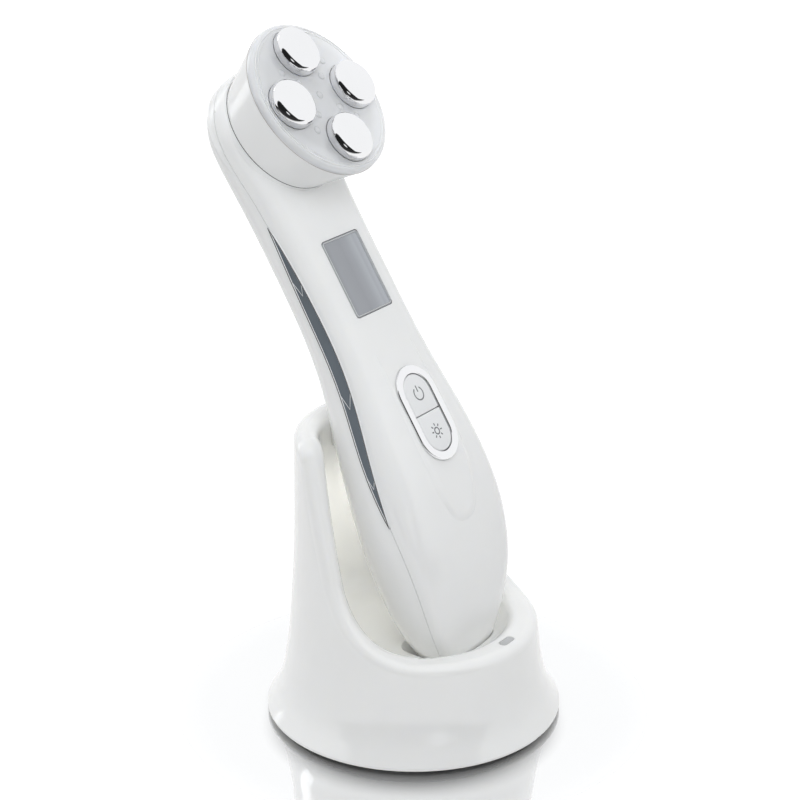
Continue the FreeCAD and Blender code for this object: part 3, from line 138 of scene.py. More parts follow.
def head_datum() -> Datum:
    """Make the frame of the round head, centred between the electrodes."""
    names = ("electrode_top", "electrode_bottom", "electrode_left", "electrode_right")
    origin = sum((centre(name) for name in names), Vector()) / len(names)
    up = (centre("electrode_top") - centre("electrode_bottom")).normalized()
    across = Vector((1, 0, 0))
    return Datum(origin, across, up, across.cross(up))


def stand_datum() -> Datum:
    """Make the upright frame on the stand's axis at the floor."""
    origin = centre("base_plate")
    origin.z = 0
    return Datum(origin, Vector((1, 0, 0)), Vector((0, 1, 0)), Vector((0, 0, 1)))


# Node trees

class NodeBench:
    """A node tree with short calls to add, feed and blend nodes."""

    def __init__(self, tree: bpy.types.NodeTree) -> None:
        """Keep the tree to work on."""
        self.tree = tree

    def add(self, kind: str, given: dict[str | int, object] | None = None, **settings: object) -> bpy.types.Node:
        """Add a node.

        Args:
            kind: the node's type name.
            given: a socket or a constant for each input that needs one, by name or number.
            settings: attributes to set on the node.

        Returns:
            The new node.
        """
        node = self.tree.nodes.new(kind)
        for key, setting in settings.items():
            setattr(node, key, setting)
        self.feed(node, given or {})
        return node

    def feed(self, node: bpy.types.Node, given: dict[str | int, object]) -> None:
        """Link sockets to a node's inputs, and set constants on them."""
        for key, source in given.items():
            if isinstance(source, Socket):
                self.tree.links.new(source, node.inputs[key])
            else:
                node.inputs[key].default_value = source

    def place(self) -> Socket:
        """Give the piece's own coordinates."""
        return self.add("ShaderNodeTexCoord").outputs["Object"]

    def vector(self, operation: str, *given: object) -> bpy.types.NodeOutputs:
        """Work out a vector sum and give the node's outputs."""
        return self.add("ShaderNodeVectorMath", dict(enumerate(given)), operation=operation).outputs

    def spread(self, value: Socket, span: Span, ends: Span = (0.0, 1.0), kind: str = "SMOOTHSTEP") -> Socket:
        """Lead a value from one end to the other over a span of another value."""
        names = ("From Min", "From Max", "To Min", "To Max")
        given = {"Value": value, **dict(zip(names, (*span, *ends)))}
        return self.add("ShaderNodeMapRange", given, interpolation_type=kind).outputs["Result"]

    def larger(self, first: Socket, second: Socket) -> Socket:
        """Take the larger of two values."""
        return self.add("ShaderNodeMath", {0: first, 1: second}, operation="MAXIMUM").outputs["Value"]

    def mix(self, factor: Socket, low: object, high: object) -> Socket:
        """Blend two values by a factor."""
        return self.add("ShaderNodeMix", {"Factor": factor, 2: low, 3: high}, data_type="FLOAT").outputs[0]

    def mix_shaders(self, factor: Socket, low: Socket, high: Socket) -> Socket:
        """Blend two shaders by a factor."""
        return self.add("ShaderNodeMixShader", {"Fac": factor, 1: low, 2: high}).outputs["Shader"]


# Finishes

class Grain(Enum):
    """The kinds of fine relief a finish can carry."""

    SPECKLE = "speckle"
    BRUSHED = "brushed"
    PEEL = "peel"


@dataclass(frozen=True)
class Finish:
    """A surface: its colour, how that drifts, its gloss and its fine relief."""

    name: str
    colour: Triple
    drift: float = 0.04
    drift_scale: float = 60.0
    drift_detail: float = 3.0
    roughness: float = 0.3
    smear: float = 0.06
    smear_detail: float = 5.0
    metallic: float = 0.0
    specular: float = 0.5
    ior: float = 1.5
    coat: float = 0.0
    coat_roughness: float = 0.04
    transmission: float = 0.0
    subsurface: float = 0.0
    subsurface_reach_mm: float = 1.0
    subsurface_tint: Triple = (1.0, 0.96, 0.84)
    relief_mm: float = 0.002
    relief_scale: float = 900.0
    relief_detail: float = 4.0
    peel_detail: float = 1.0
    grain: Grain = Grain.SPECKLE
    brush_stretch: Triple = (1.0, 1.0, 0.02)
    noise_span: Span = (0.3, 0.7)

    def material(self) -> bpy.types.Material:
        """Find this finish's material, or build it the first time."""
        found = bpy.data.materials.get("finish_" + self.name)
        return found if found is not None else self.build()

    def build(self) -> bpy.types.Material:
        """Build the material's nodes, with what is the same all over on the shader's own sockets.

        Returns:
            The new material.
        """
        material = bpy.data.materials.new("finish_" + self.name)
        material.use_nodes = True
        bench = NodeBench(material.node_tree)
        at = bench.place()
        bench.feed(material.node_tree.nodes["Principled BSDF"], {
            "Metallic": self.metallic,
            "IOR": self.ior,
            "Specular IOR Level": self.specular,
            "Coat Weight": self.coat,
            "Coat Roughness": self.coat_roughness,
            "Transmission Weight": self.transmission,
            "Subsurface Weight": self.subsurface,
            "Subsurface Scale": self.subsurface_reach_mm * MM,
            "Subsurface Radius": self.subsurface_tint,
            "Base Color": self.colour_socket(bench, at),
            "Roughness": self.gloss_socket(bench, at),
            "Normal": self.relief_socket(bench, at),
        })
        return material

    def noise(self, bench: NodeBench, at: Socket, scale: float, detail: float) -> Socket:
        """Add a noise pattern.

        Args:
            bench: the tree to work on.
            at: the coordinates.
            scale: pattern repeats per metre.
            detail: octaves.

        Returns:
            The pattern's value, from 0 to 1.
        """
        given = {"Scale": scale, "Detail": detail, "Vector": at}
        return bench.add("ShaderNodeTexNoise", given, noise_dimensions="3D").outputs["Fac"]

    def colour_socket(self, bench: NodeBench, at: Socket) -> Socket:
        """Let the colour drift a little from place to place."""
        ramp = bench.add("ShaderNodeValToRGB", {"Fac": self.noise(bench, at, self.drift_scale, self.drift_detail)})
        shares = (1 - self.drift, 1 + self.drift)
        for stop, position, share in zip(ramp.color_ramp.elements, self.noise_span, shares):
            stop.position = position
            stop.color = (*(min(1.0, part * share) for part in self.colour), 1.0)
        return ramp.outputs["Color"]

    def gloss_socket(self, bench: NodeBench, at: Socket) -> Socket:
        """Let the gloss vary as if lightly handled."""
        ends = (max(0.0, self.roughness - self.smear / 2), self.roughness + self.smear / 2)
        handled = self.noise(bench, at, self.drift_scale * 2, self.smear_detail)
        return bench.spread(handled, self.noise_span, ends, "LINEAR")

    def relief_socket(self, bench: NodeBench, at: Socket) -> Socket:
        """Add the fine relief of the mould, the tool or the brush."""
        scale = self.brush_stretch if self.grain is Grain.BRUSHED else (1, 1, 1)
        stretched = bench.add("ShaderNodeMapping", {"Vector": at, "Scale": scale}).outputs["Vector"]
        detail = self.peel_detail if self.grain is Grain.PEEL else self.relief_detail
        height = self.noise(bench, stretched, self.relief_scale, detail)
        given = {"Strength": 1.0, "Distance": self.relief_mm * MM, "Height": height}
        return bench.add("ShaderNodeBump", given).outputs["Normal"]

    def shade(self, stops: Sequence[Span], around: Datum | None = None) -> None:
        """Paint light and shade into the colour: let it grow lighter or darker across the part, or away from an axis.

        Args:
            stops: places in millimetres, in order, each with the share of the colour there.
            around: datum whose out axis the places are measured from, or None for the row frame's X.
        """
        tree = self.material().node_tree
        bench = NodeBench(tree)
        surface = tree.nodes["Principled BSDF"]
        plain = surface.inputs["Base Color"].links[0].from_socket
        if around is None:
            reach = bench.vector("DOT_PRODUCT", bench.place(), (1, 0, 0))["Value"]
        else:
            offset = bench.vector("SUBTRACT", bench.place(), around.origin)["Vector"]
            reach = bench.vector("LENGTH", bench.vector("CROSS_PRODUCT", offset, around.out)["Vector"])["Value"]
        start, end = stops[0][0], stops[-1][0]
        along = bench.spread(reach, (start * MM, end * MM), kind="LINEAR")
        ramp = bench.add("ShaderNodeValToRGB", {"Fac": along})
        while len(ramp.color_ramp.elements) < len(stops):
            ramp.color_ramp.elements.new(0.5)
        # A ramp's colours end at 1, so it holds half of each share.
        for element, (at, share) in zip(ramp.color_ramp.elements, stops):
            element.position = (at - start) / (end - start)
            element.color = (share / 2, share / 2, share / 2, 1)
        double = bench.add("ShaderNodeVectorMath", {0: ramp.outputs["Color"], "Scale": 2.0}, operation="SCALE")
        bench.feed(surface, {"Base Color": bench.vector("MULTIPLY", plain, double.outputs["Vector"])["Vector"]})

    def dress(self, *nodes: str) -> None:
        """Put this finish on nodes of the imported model."""
        for node in nodes:
            mesh = frame["nodes"][node].data
            mesh.materials.clear()
            mesh.materials.append(self.material())
            LOG.info("dressed %s with %s", node, self.name)


GLOSS_WHITE = Finish("gloss_white_moulding", (0.915, 0.917, 0.91), drift=0.008, roughness=0.18, smear=0.03,
                     coat=0.3, coat_roughness=0.07, relief_mm=0.0012, relief_scale=260.0, grain=Grain.PEEL,
                     subsurface=0.2, subsurface_reach_mm=1.5)
STAND_WHITE = Finish("gloss_white_stand", (0.945, 0.945, 0.93), drift=0.008, roughness=0.12, smear=0.02, coat=0.55,
                     coat_roughness=0.035, relief_mm=0.0012, relief_scale=240.0, grain=Grain.PEEL,
                     subsurface=0.25, subsurface_reach_mm=2.0)
SATIN_WHITE = Finish("satin_white_base", (0.74, 0.74, 0.73), roughness=0.5, relief_mm=0.01, relief_scale=1400.0)
MILKY_LENS = Finish("milky_lens", (0.92, 0.93, 0.945), drift=0.03, roughness=0.18, smear=0.05, transmission=0.18,
                    ior=1.46, coat=0.9, coat_roughness=0.03, relief_mm=0.001, subsurface=0.3,
                    subsurface_reach_mm=1.5)
CHROME = Finish("bright_chrome", (0.90, 0.90, 0.91), drift=0.01, roughness=0.025, smear=0.014, metallic=1.0,
                relief_mm=0.0004, relief_scale=120.0, grain=Grain.PEEL)
SLATE = Finish("slate_trim", (0.098, 0.122, 0.146), drift=0.14, drift_scale=45.0, roughness=0.3, metallic=0.1,
               coat=0.3, coat_roughness=0.1, relief_mm=0.002, relief_scale=1500.0)
DISPLAY_GLASS = Finish("display_window", (0.295, 0.309, 0.336), drift=0.03, drift_scale=45.0, roughness=0.09,
                       smear=0.03, coat=1.0, coat_roughness=0.02, relief_mm=0.0004)
DISPLAY_PANEL = Finish("display_panel", (0.32, 0.33, 0.32), roughness=0.45)
BEZEL = Finish("display_bezel", (0.55, 0.565, 0.58), roughness=0.2, smear=0.03, coat=0.5, relief_mm=0.0006)
BUTTON_GREY = Finish("satin_grey_button", (0.86, 0.865, 0.87), drift=0.01, roughness=0.3, relief_mm=0.003,
                     relief_scale=1800.0, coat=0.15)
INK = Finish("grey_ink", (0.19, 0.19, 0.2), roughness=0.45, relief_mm=0.001)
BLACK_PLASTIC = Finish("black_moulding", (0.018, 0.018, 0.02), roughness=0.42, relief_mm=0.006, relief_scale=1500.0)
SOLDER_GREEN = Finish("green_board", (0.025, 0.15, 0.06), drift=0.15, drift_scale=220.0, roughness=0.32, coat=0.3)
SOLDER_WHITE = Finish("pale_board", (0.66, 0.67, 0.69), roughness=0.4)
GILT = Finish("gilt_contact", (0.86, 0.62, 0.26), roughness=0.18, metallic=1.0, relief_mm=0.001)
STEEL = Finish("plain_steel", (0.56, 0.565, 0.57), roughness=0.28, metallic=1.0, relief_mm=0.004, grain=Grain.BRUSHED)
RUBBER = Finish("black_rubber", (0.016, 0.016, 0.017), roughness=0.72, relief_mm=0.012, relief_scale=1300.0)
FERRITE = Finish("dark_ferrite", (0.035, 0.035, 0.038), roughness=0.55, relief_mm=0.008)
COPPER = Finish("enamelled_copper", (0.62, 0.25, 0.1), roughness=0.3, metallic=1.0, relief_mm=0.03,
                relief_scale=2600.0, grain=Grain.BRUSHED)
FOIL = Finish("cell_foil", (0.62, 0.63, 0.65), roughness=0.35, metallic=0.9, relief_mm=0.02, relief_scale=300.0)
CLEAR = Finish("clear_resin", (0.96, 0.965, 0.98), drift=0.005, roughness=0.04, smear=0.02, transmission=0.85,
               relief_mm=0.0004)
LIGHT_PIPE = Finish("light_pipe", (0.72, 0.73, 0.74), roughness=0.2, transmission=0.35, coat=0.5)
SEAM_BROWN = Finish("seam_gasket", (0.34, 0.29, 0.245), roughness=0.5)
LENS_EDGE = Finish("lens_edge", (0.95, 0.945, 0.93), drift=0.01, roughness=0.08, coat=0.9, coat_roughness=0.02,
                   subsurface=0.3, relief_mm=0.0004)
BRIGHT_EDGE = Finish("bright_edge", (0.93, 0.94, 0.95), drift=0.02, roughness=0.25, metallic=0.1, relief_mm=0.0004)
# Dark seam under the head ring, and painted shadow lines round the trims and the display window.
DARK_SEAM_AND_SHADOW = Finish("dark_seam_and_painted_shadow", (0.06, 0.058, 0.056), roughness=0.5)
PALE_FLOOR = Finish("pale_floor", (0.80, 0.80, 0.805), drift=0.004, drift_scale=3.0, roughness=0.5, smear=0.02,
                    relief_mm=0.012, relief_scale=220.0, grain=Grain.PEEL)


# Mesh helpers

def new_piece(name: str, mesh: Mesh, finish: Finish | None = None) -> Piece:
    """Link a mesh into the scene as an object at the origin, with its finish if one is given."""
    piece = bpy.data.objects.new(name, mesh)
    bpy.context.scene.collection.objects.link(piece)
    if finish is not None:
        mesh.materials.append(finish.material())
    return piece


def mesh_from(name: str, shape: Shape, at: Matrix, soft_deg: float | None = SOFT_EDGE_DEG) -> Mesh:
    """Close a bmesh into a mesh with outward normals.

    Args:
        name: the mesh's name.
        shape: the bmesh, which is freed.
        at: a transform to apply first.
        soft_deg: edges that turn less are shaded smooth; None leaves every face flat.

    Returns:
        The new mesh.
    """
    bmesh.ops.transform(shape, matrix=at, verts=shape.verts)
    bmesh.ops.remove_doubles(shape, verts=shape.verts, dist=WELD_M)
    bmesh.ops.recalc_face_normals(shape, faces=shape.faces)
    if soft_deg is not None:
        shape.normal_update()
        for face in shape.faces:
            face.smooth = True
        for edge in shape.edges:
            edge.smooth = len(edge.link_faces) == 2 and edge.calc_face_angle() < math.radians(soft_deg)
    mesh = bpy.data.meshes.new(name)
    shape.to_mesh(mesh)
    shape.free()
    return mesh


def bridge(shape: Shape, *rings: Sequence[bmesh.types.BMVert]) -> None:
    """Join each ring of points to the next with faces."""
    for lower, upper in zip(rings, rings[1:]):
        for i in range(len(lower)):
            j = (i + 1) % len(lower)
            corners = list(dict.fromkeys((lower[i], lower[j], upper[j], upper[i])))
            if len(corners) > 2:
                shape.faces.new(corners)


def level(shape: Shape, outline: Outline, height: float) -> list[bmesh.types.BMVert]:
    """Add an outline's points to a shape at one height."""
    return [shape.verts.new((x, y, height)) for x, y in outline]


def grown(outline: Outline, amount: float) -> Outline:
    """Move an outline outwards, or inwards for a negative amount.

    Args:
        outline: corner points, counter-clockwise.
        amount: how far each point moves along its normal.

    Returns:
        The moved outline.
    """
    moved = []
    for i, (x, y) in enumerate(outline):
        before = Vector(outline[i - 1])
        after = Vector(outline[(i + 1) % len(outline)])
        into = (Vector((x, y)) - before).normalized()
        out_of = (after - Vector((x, y))).normalized()
        normal = Vector((into.y + out_of.y, -into.x - out_of.x)).normalized()
        stretch = max(MITRE_LEAST, normal.dot(Vector((into.y, -into.x))))
        moved.append((x + normal.x * amount / stretch, y + normal.y * amount / stretch))
    return moved


def pillow(name: str, outline: Outline, low: float, high: float, edge: float, datum: Datum, steps: int = 4) -> Mesh:
    """Raise an outline into a closed block whose upper edge is rounded.

    Args:
        name: the mesh's name.
        outline: the block's plan in local millimetres, counter-clockwise.
        low: where its floor lies along the outward axis.
        high: where its top lies.
        edge: radius of the rounded edge.
        datum: the frame it stands in.
        steps: rings of the rounded edge.

    Returns:
        The block's mesh in the row frame.
    """
    levels = [(0.0, low)]
    for step in range(steps + 1):
        angle = math.pi / 2 * step / steps
        levels.append((edge * (1 - math.cos(angle)), high - edge * (1 - math.sin(angle))))
    shape = bmesh.new()
    rings = [level(shape, grown(outline, -inset), height) for inset, height in levels]
    bridge(shape, *rings)
    shape.faces.new(rings[0][::-1])
    shape.faces.new(rings[-1])
    return mesh_from(name, shape, datum.matrix())


def arc(x: float, y: float, radius: float, start: float, end: float, steps: int) -> Outline:
    """List points along an arc between two angles in degrees."""
    angles = [math.radians(start + (end - start) * i / steps) for i in range(steps + 1)]
    return [(x + radius * math.cos(angle), y + radius * math.sin(angle)) for angle in angles]


def circle(x: float, y: float, radius: float, count: int) -> Outline:
    """List points all round a circle."""
    return arc(x, y, radius, 0, 360 * (count - 1) / count, count - 1)


def turned(profile: Outline, sides: int) -> Shape:
    """Turn a profile of radius and height about the outward axis.

    Args:
        profile: radius and height pairs, in local millimetres.
        sides: facets round the axis.

    Returns:
        The turned shape.
    """
    shape = bmesh.new()
    rings = []
    for radius, height in profile:
        if radius < ON_AXIS_MM:
            rings.append([shape.verts.new((0, 0, height))] * sides)
        else:
            rings.append(level(shape, circle(0, 0, radius, sides), height))
    bridge(shape, *rings)
    return shape


# Geometry Nodes

class Tool:
    """A Geometry Nodes tree with named inputs, used once and then settled into a plain mesh."""

    def __init__(self, name: str) -> None:
        """Start a tree with a geometry input and output."""
        self.tree = bpy.data.node_groups.new(name, "GeometryNodeTree")
        for way in ("INPUT", "OUTPUT"):
            self.tree.interface.new_socket("Geometry", in_out=way, socket_type="NodeSocketGeometry")
        self.bench = NodeBench(self.tree)
        self.given = self.bench.add("NodeGroupInput")
        self.result = self.bench.add("NodeGroupOutput")
        self.identifiers: dict[str, str] = {}

    def ask(self, name: str, kind: str) -> Socket:
        """Add a named input and give its socket inside the tree."""
        item = self.tree.interface.new_socket(name, in_out="INPUT", socket_type=kind)
        self.identifiers[name] = item.identifier
        return self.given.outputs[name]

    def close(self, geometry: Socket) -> None:
        """End the tree in plain geometry with its finish."""
        realize = self.bench.add("GeometryNodeRealizeInstances", {"Geometry": geometry})
        dress = self.bench.add("GeometryNodeSetMaterial", {"Geometry": realize.outputs["Geometry"]})
        self.bench.feed(dress, {"Material": self.ask("Finish", "NodeSocketMaterial")})
        self.bench.feed(self.result, {"Geometry": dress.outputs["Geometry"]})

    def settle(self, host: Piece, name: str, inputs: dict[str, object]) -> Piece:
        """Run the tree on a host and keep the result as a plain mesh.

        Args:
            host: the object whose mesh goes in; it is removed.
            name: the new piece's name.
            inputs: a value for each named input.

        Returns:
            The finished piece.
        """
        modifier = host.modifiers.new(self.tree.name, "NODES")
        modifier.node_group = self.tree
        for key, setting in inputs.items():
            modifier[self.identifiers[key]] = setting
        graph = bpy.context.evaluated_depsgraph_get()
        mesh = bpy.data.meshes.new_from_object(host.evaluated_get(graph))
        mesh.name = name
        bpy.data.objects.remove(host)
        return new_piece(name, mesh)


def scatter_tool() -> Tool:
    """Build the tree that sets one pattern on every point of a host."""
    tool = Tool("set_on_points")
    bench = tool.bench
    pattern = bench.add("GeometryNodeObjectInfo", transform_space="ORIGINAL")
    bench.feed(pattern, {"Object": tool.ask("Pattern", "NodeSocketObject")})
    points = bench.add("GeometryNodeMeshToPoints", {"Mesh": tool.given.outputs["Geometry"]})
    given = {"Points": points.outputs["Points"], "Instance": pattern.outputs["Geometry"]}
    tool.close(bench.add("GeometryNodeInstanceOnPoints", given).outputs["Instances"])
    return tool


def sweep_tool() -> Tool:
    """Build the tree that sweeps an oval section along a host's edges."""
    tool = Tool("sweep_along_edges")
    bench = tool.bench
    size = bench.add("ShaderNodeCombineXYZ", {"Z": 1.0})
    for axis, name in (("X", "Section Width"), ("Y", "Section Height")):
        bench.feed(size, {axis: tool.ask(name, "NodeSocketFloat")})
    round_section = bench.add("GeometryNodeCurvePrimitiveCircle", {"Resolution": BEAD_SIDES, "Radius": 1.0})
    given = {"Geometry": round_section.outputs["Curve"], "Scale": size.outputs["Vector"]}
    oval = bench.add("GeometryNodeTransform", given)
    path = bench.add("GeometryNodeMeshToCurve", {"Mesh": tool.given.outputs["Geometry"]})
    normal = bench.add("GeometryNodeSetCurveNormal", {"Curve": path.outputs["Curve"]}, mode="FREE")
    bench.feed(normal, {"Normal": tool.ask("Upright", "NodeSocketVector")})
    given = {"Curve": normal.outputs["Curve"], "Profile Curve": oval.outputs["Geometry"], "Fill Caps": True}
    bead = bench.add("GeometryNodeCurveToMesh", given)
    tool.close(bench.add("GeometryNodeSetShadeSmooth", {"Geometry": bead.outputs["Mesh"]}).outputs["Geometry"])
    return tool


def points_host(name: str, spots: Sequence[Vector], closed: bool | None = None) -> Piece:
    """Make a host mesh of points, joined by edges if asked.

    Args:
        name: the host's name.
        spots: places in the row frame.
        closed: None for loose points, else whether the chain of edges closes.

    Returns:
        The host object.
    """
    edges = []
    if closed is not None:
        edges = [(i, i + 1) for i in range(len(spots) - 1)]
        edges += [(len(spots) - 1, 0)] if closed else []
    mesh = bpy.data.meshes.new(name)
    mesh.from_pydata([tuple(spot) for spot in spots], edges, [])
    return new_piece(name, mesh)


def set_on_points(name: str, pattern: Mesh, spots: Sequence[Vector], finish: Finish) -> Piece:
    """Repeat a pattern mesh at places in the row frame, as one piece.

    Args:
        name: the piece's name.
        pattern: the mesh to repeat, turned as it stands in the row frame.
        spots: where each copy goes.
        finish: the finish of every copy.

    Returns:
        The finished piece.
    """
    model = new_piece(name + "_pattern", pattern)
    host = points_host(name + "_points", spots)
    piece = scatter_tool().settle(host, name, {"Pattern": model, "Finish": finish.material()})
    bpy.data.objects.remove(model)
    return piece


def sweep(name: str, spots: Sequence[Vector], section: Span, upright: Vector, finish: Finish,
          closed: bool = True) -> Piece:
    """Run an oval bead along a chain of places.

    Args:
        name: the piece's name.
        spots: the chain in the row frame.
        section: the bead's half width and half height in millimetres.
        upright: the direction its height points in.
        finish: its finish.
        closed: whether the chain closes.

    Returns:
        The finished piece.
    """
    host = points_host(name + "_path", spots, closed)
    inputs = {"Section Width": section[0] * MM, "Section Height": section[1] * MM, "Upright": tuple(upright),
              "Finish": finish.material()}
    return sweep_tool().settle(host, name, inputs)


def place(piece: Piece, body: str, slot: str, *nodes: str) -> Piece:
    """Let a finished piece ride on a body and stand for nodes."""
    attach(piece, body)
    if nodes:
        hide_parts(*nodes)
    LOG.info("placed %s on %s", piece.name, body)
    return piece


# The handset

@dataclass
class Shells:
    """The handset's two mouldings, their plugs and the two flank trims."""

    edging: Span = (0.22, 0.32)
    # Painted shadow: the section of the dark line round each trim.
    shadow: Span = (0.36, 0.16)
    skin_slope: float = 0.5
    line_shares: tuple[float, ...] = (0.18, 0.56, 0.84)
    line_section: Span = (0.14, 0.1)
    line_drop: float = 3.2

    def dress(self) -> None:
        """Give the mouldings their gloss and the trims their slate."""
        GLOSS_WHITE.dress("front_shell", "rear_shell", "screw_plugs")
        SLATE.dress("side_trim_left", "side_trim_right")
        STEEL.dress("shell_screws")
        GILT.dress("contact_left", "contact_right")

    def build(self) -> None:
        """Run a bright edging on a dark line of painted shadow round each trim and set fine lines across it."""
        outward = Vector((1, 0, 0))
        for side in ("left", "right"):
            rim = self.rim_points("side_trim_" + side)
            place(sweep("trim_edging_" + side, rim, self.edging, outward, BRIGHT_EDGE), "handset", "chrome")
            # Painted shadow: a dark line just outside the bright edging, at the trim's edge.
            place(sweep("trim_gasket_" + side, rim, self.shadow, outward, DARK_SEAM_AND_SHADOW), "handset", "slate_trim")
            for number, share in enumerate(self.line_shares):
                chain = self.line_points(rim, share)
                name = "trim_line_%s_%d" % (side, number + 1)
                place(sweep(name, chain, self.line_section, outward, BRIGHT_EDGE, closed=False), "handset", "chrome")

    def line_points(self, rim: Sequence[Vector], share: float) -> list[Vector]:
        """Draw a pointed line across a trim.

        Args:
            rim: the trim's edge in order, from its foot.
            share: how far down from its top the line crosses.

        Returns:
            Three places: on one edge, lower down in the middle, and on the other edge.
        """
        top = max(spot.z for spot in rim)
        foot = min(spot.z for spot in rim)
        peak = max(range(len(rim)), key=lambda i: rim[i].z)
        height = top + (foot - top) * share
        sides = (rim[:peak + 1], rim[peak:])
        ends = [min(side, key=lambda spot: abs(spot.z - height)) for side in sides]
        low = [min(side, key=lambda spot: abs(spot.z - height + self.line_drop * MM)) for side in sides]
        return [ends[0], (low[0] + low[1]) / 2, ends[1]]

    def rim_points(self, node: str) -> list[Vector]:
        """Walk round the outer edge of a trim's face.

        Args:
            node: the trim's node.

        Returns:
            The edge's corners in order.
        """
        shape = bmesh.new()
        shape.from_mesh(frame["nodes"][node].data)
        bmesh.ops.remove_doubles(shape, verts=shape.verts, dist=NODE_WELD_M)
        side = 1 if centre(node).x > 0 else -1
        faces = {face for face in shape.faces if face.normal.x * side > self.skin_slope}
        rim = [edge for edge in shape.edges if sum(face in faces for face in edge.link_faces) == 1]
        following: dict[bmesh.types.BMVert, list[bmesh.types.BMVert]] = {}
        for edge in rim:
            for one, other in (edge.verts, reversed(edge.verts)):
                following.setdefault(one, []).append(other)
        start = min(following, key=lambda vertex: vertex.co.z)
        walk = [start]
        while True:
            onward = [vertex for vertex in following[walk[-1]] if vertex not in walk[-2:]]
            if not onward or onward[0] is start:
                break
            walk.append(onward[0])
        spots = [vertex.co.copy() for vertex in walk]
        shape.free()
        return spots


@dataclass
class ElectrodeHead:
    """The round head: ring, milky lens, electrodes and the lamps behind the lens."""

    lamp_radius: float = 1.5
    lamp_flange: float = 1.8
    flange_heights: Span = (0.8, 0.9)
    dome_steps: int = 6
    bead_radius: float = 1.2
    bead_height: float = 0.26
    bead_foot: float = -0.2
    bead_angles: tuple[float, ...] = (25.0, 50.0, 72.0)
    bead_soft_deg: float = 60.0
    ring_foot_radius: float = 19.85
    ring_foot_height: float = -15.5
    inner_pitch: float = 7.6
    outer_pitch: float = 13.6
    quarters: tuple[float, ...] = (45.0, 135.0, 225.0, 315.0)
    sides: int = 24
    seam_points: int = 120
    # Painted light on the lens: shares of its colour across it and out towards its rim.
    lens_painted_light_across: tuple[Span, ...] = ((-22, 0.82), (2, 0.9), (12, 1.06), (23, 1.24))
    lens_rim_painted_light: tuple[Span, ...] = ((0, 0.97), (18.5, 0.98), (20.5, 1.06), (24, 1.1))

    def dress(self) -> None:
        """Give each node of the head its finish."""
        GLOSS_WHITE.dress("head_ring")
        MILKY_LENS.dress("head_lens")
        # Painted light: the lens grows lighter towards its right side and towards its rim.
        MILKY_LENS.shade(self.lens_painted_light_across)
        MILKY_LENS.shade(self.lens_rim_painted_light, head_datum())
        CHROME.dress("electrode_top", "electrode_bottom", "electrode_left", "electrode_right")
        STEEL.dress("electrode_nuts")
        SOLDER_WHITE.dress("led_board")

    def spots(self, datum: Datum, height: float) -> list[Vector]:
        """List the lamps: one in the middle and two rings of four."""
        places = [datum.point(0, 0, height)]
        for pitch in (self.inner_pitch, self.outer_pitch):
            for angle in self.quarters:
                turn = math.radians(angle)
                places.append(datum.point(pitch * math.cos(turn), pitch * math.sin(turn), height))
        return places

    def build(self) -> None:
        """Make the lamps behind the lens and the small clear beads on it."""
        datum = head_datum()
        low, high = datum.span("leds")
        tall = high.z - low.z
        dome = arc(0, tall - self.lamp_radius, self.lamp_radius, 0, 90, self.dome_steps)[:-1]
        lamp = [(0, 0), (self.lamp_flange, 0), (self.lamp_flange, self.flange_heights[0]),
                (self.lamp_radius, self.flange_heights[1])] + dome + [(0, tall)]
        mesh = mesh_from("lamp_pattern", turned(lamp, self.sides), datum.turn())
        place(set_on_points("head_lamps", mesh, self.spots(datum, low.z), CLEAR), "handset", "clear_led", "leds")

        bead = [(0, self.bead_foot), (self.bead_radius, self.bead_foot), (self.bead_radius, 0.0)]
        for angle in map(math.radians, self.bead_angles):
            bead.append((self.bead_radius * math.cos(angle), self.bead_height * math.sin(angle)))
        bead.append((0, self.bead_height))
        mesh = mesh_from("bead_pattern", turned(bead, self.sides), datum.turn(), self.bead_soft_deg)
        beads = self.spots(datum, datum.span("head_lens")[1].z)
        place(set_on_points("lens_beads", mesh, beads, MILKY_LENS), "handset", "milky_lens")
        self.build_seams(datum)

    def build_seams(self, datum: Datum) -> None:
        """Run the rim beads on the lens, the brown seam bead under it and the dark seam bead under the ring."""
        low, high = datum.span("head_lens")
        ring_top = datum.span("head_ring")[1].z
        x, y = (low.x + high.x) / 2, (low.y + high.y) / 2
        reach = (high.x - low.x) / 2
        beads = (
            ("lens_rim_outer", reach - 1.5, high.z, (0.2, 0.1), LENS_EDGE, "milky_lens"),
            ("lens_rim_inner", reach - 2.5, high.z, (0.12, 0.05), LENS_EDGE, "milky_lens"),
            ("lens_gasket", reach - 0.03, ring_top, (0.06, 0.09), SEAM_BROWN, "rubber"),
            ("ring_gasket", self.ring_foot_radius, self.ring_foot_height, (0.16, 0.1), DARK_SEAM_AND_SHADOW, "rubber"),
        )
        for name, radius, height, section, finish, slot in beads:
            chain = [datum.point(px, py, height) for px, py in circle(x, y, radius, self.seam_points)]
            place(sweep(name, chain, section, datum.out, finish), "handset", slot)


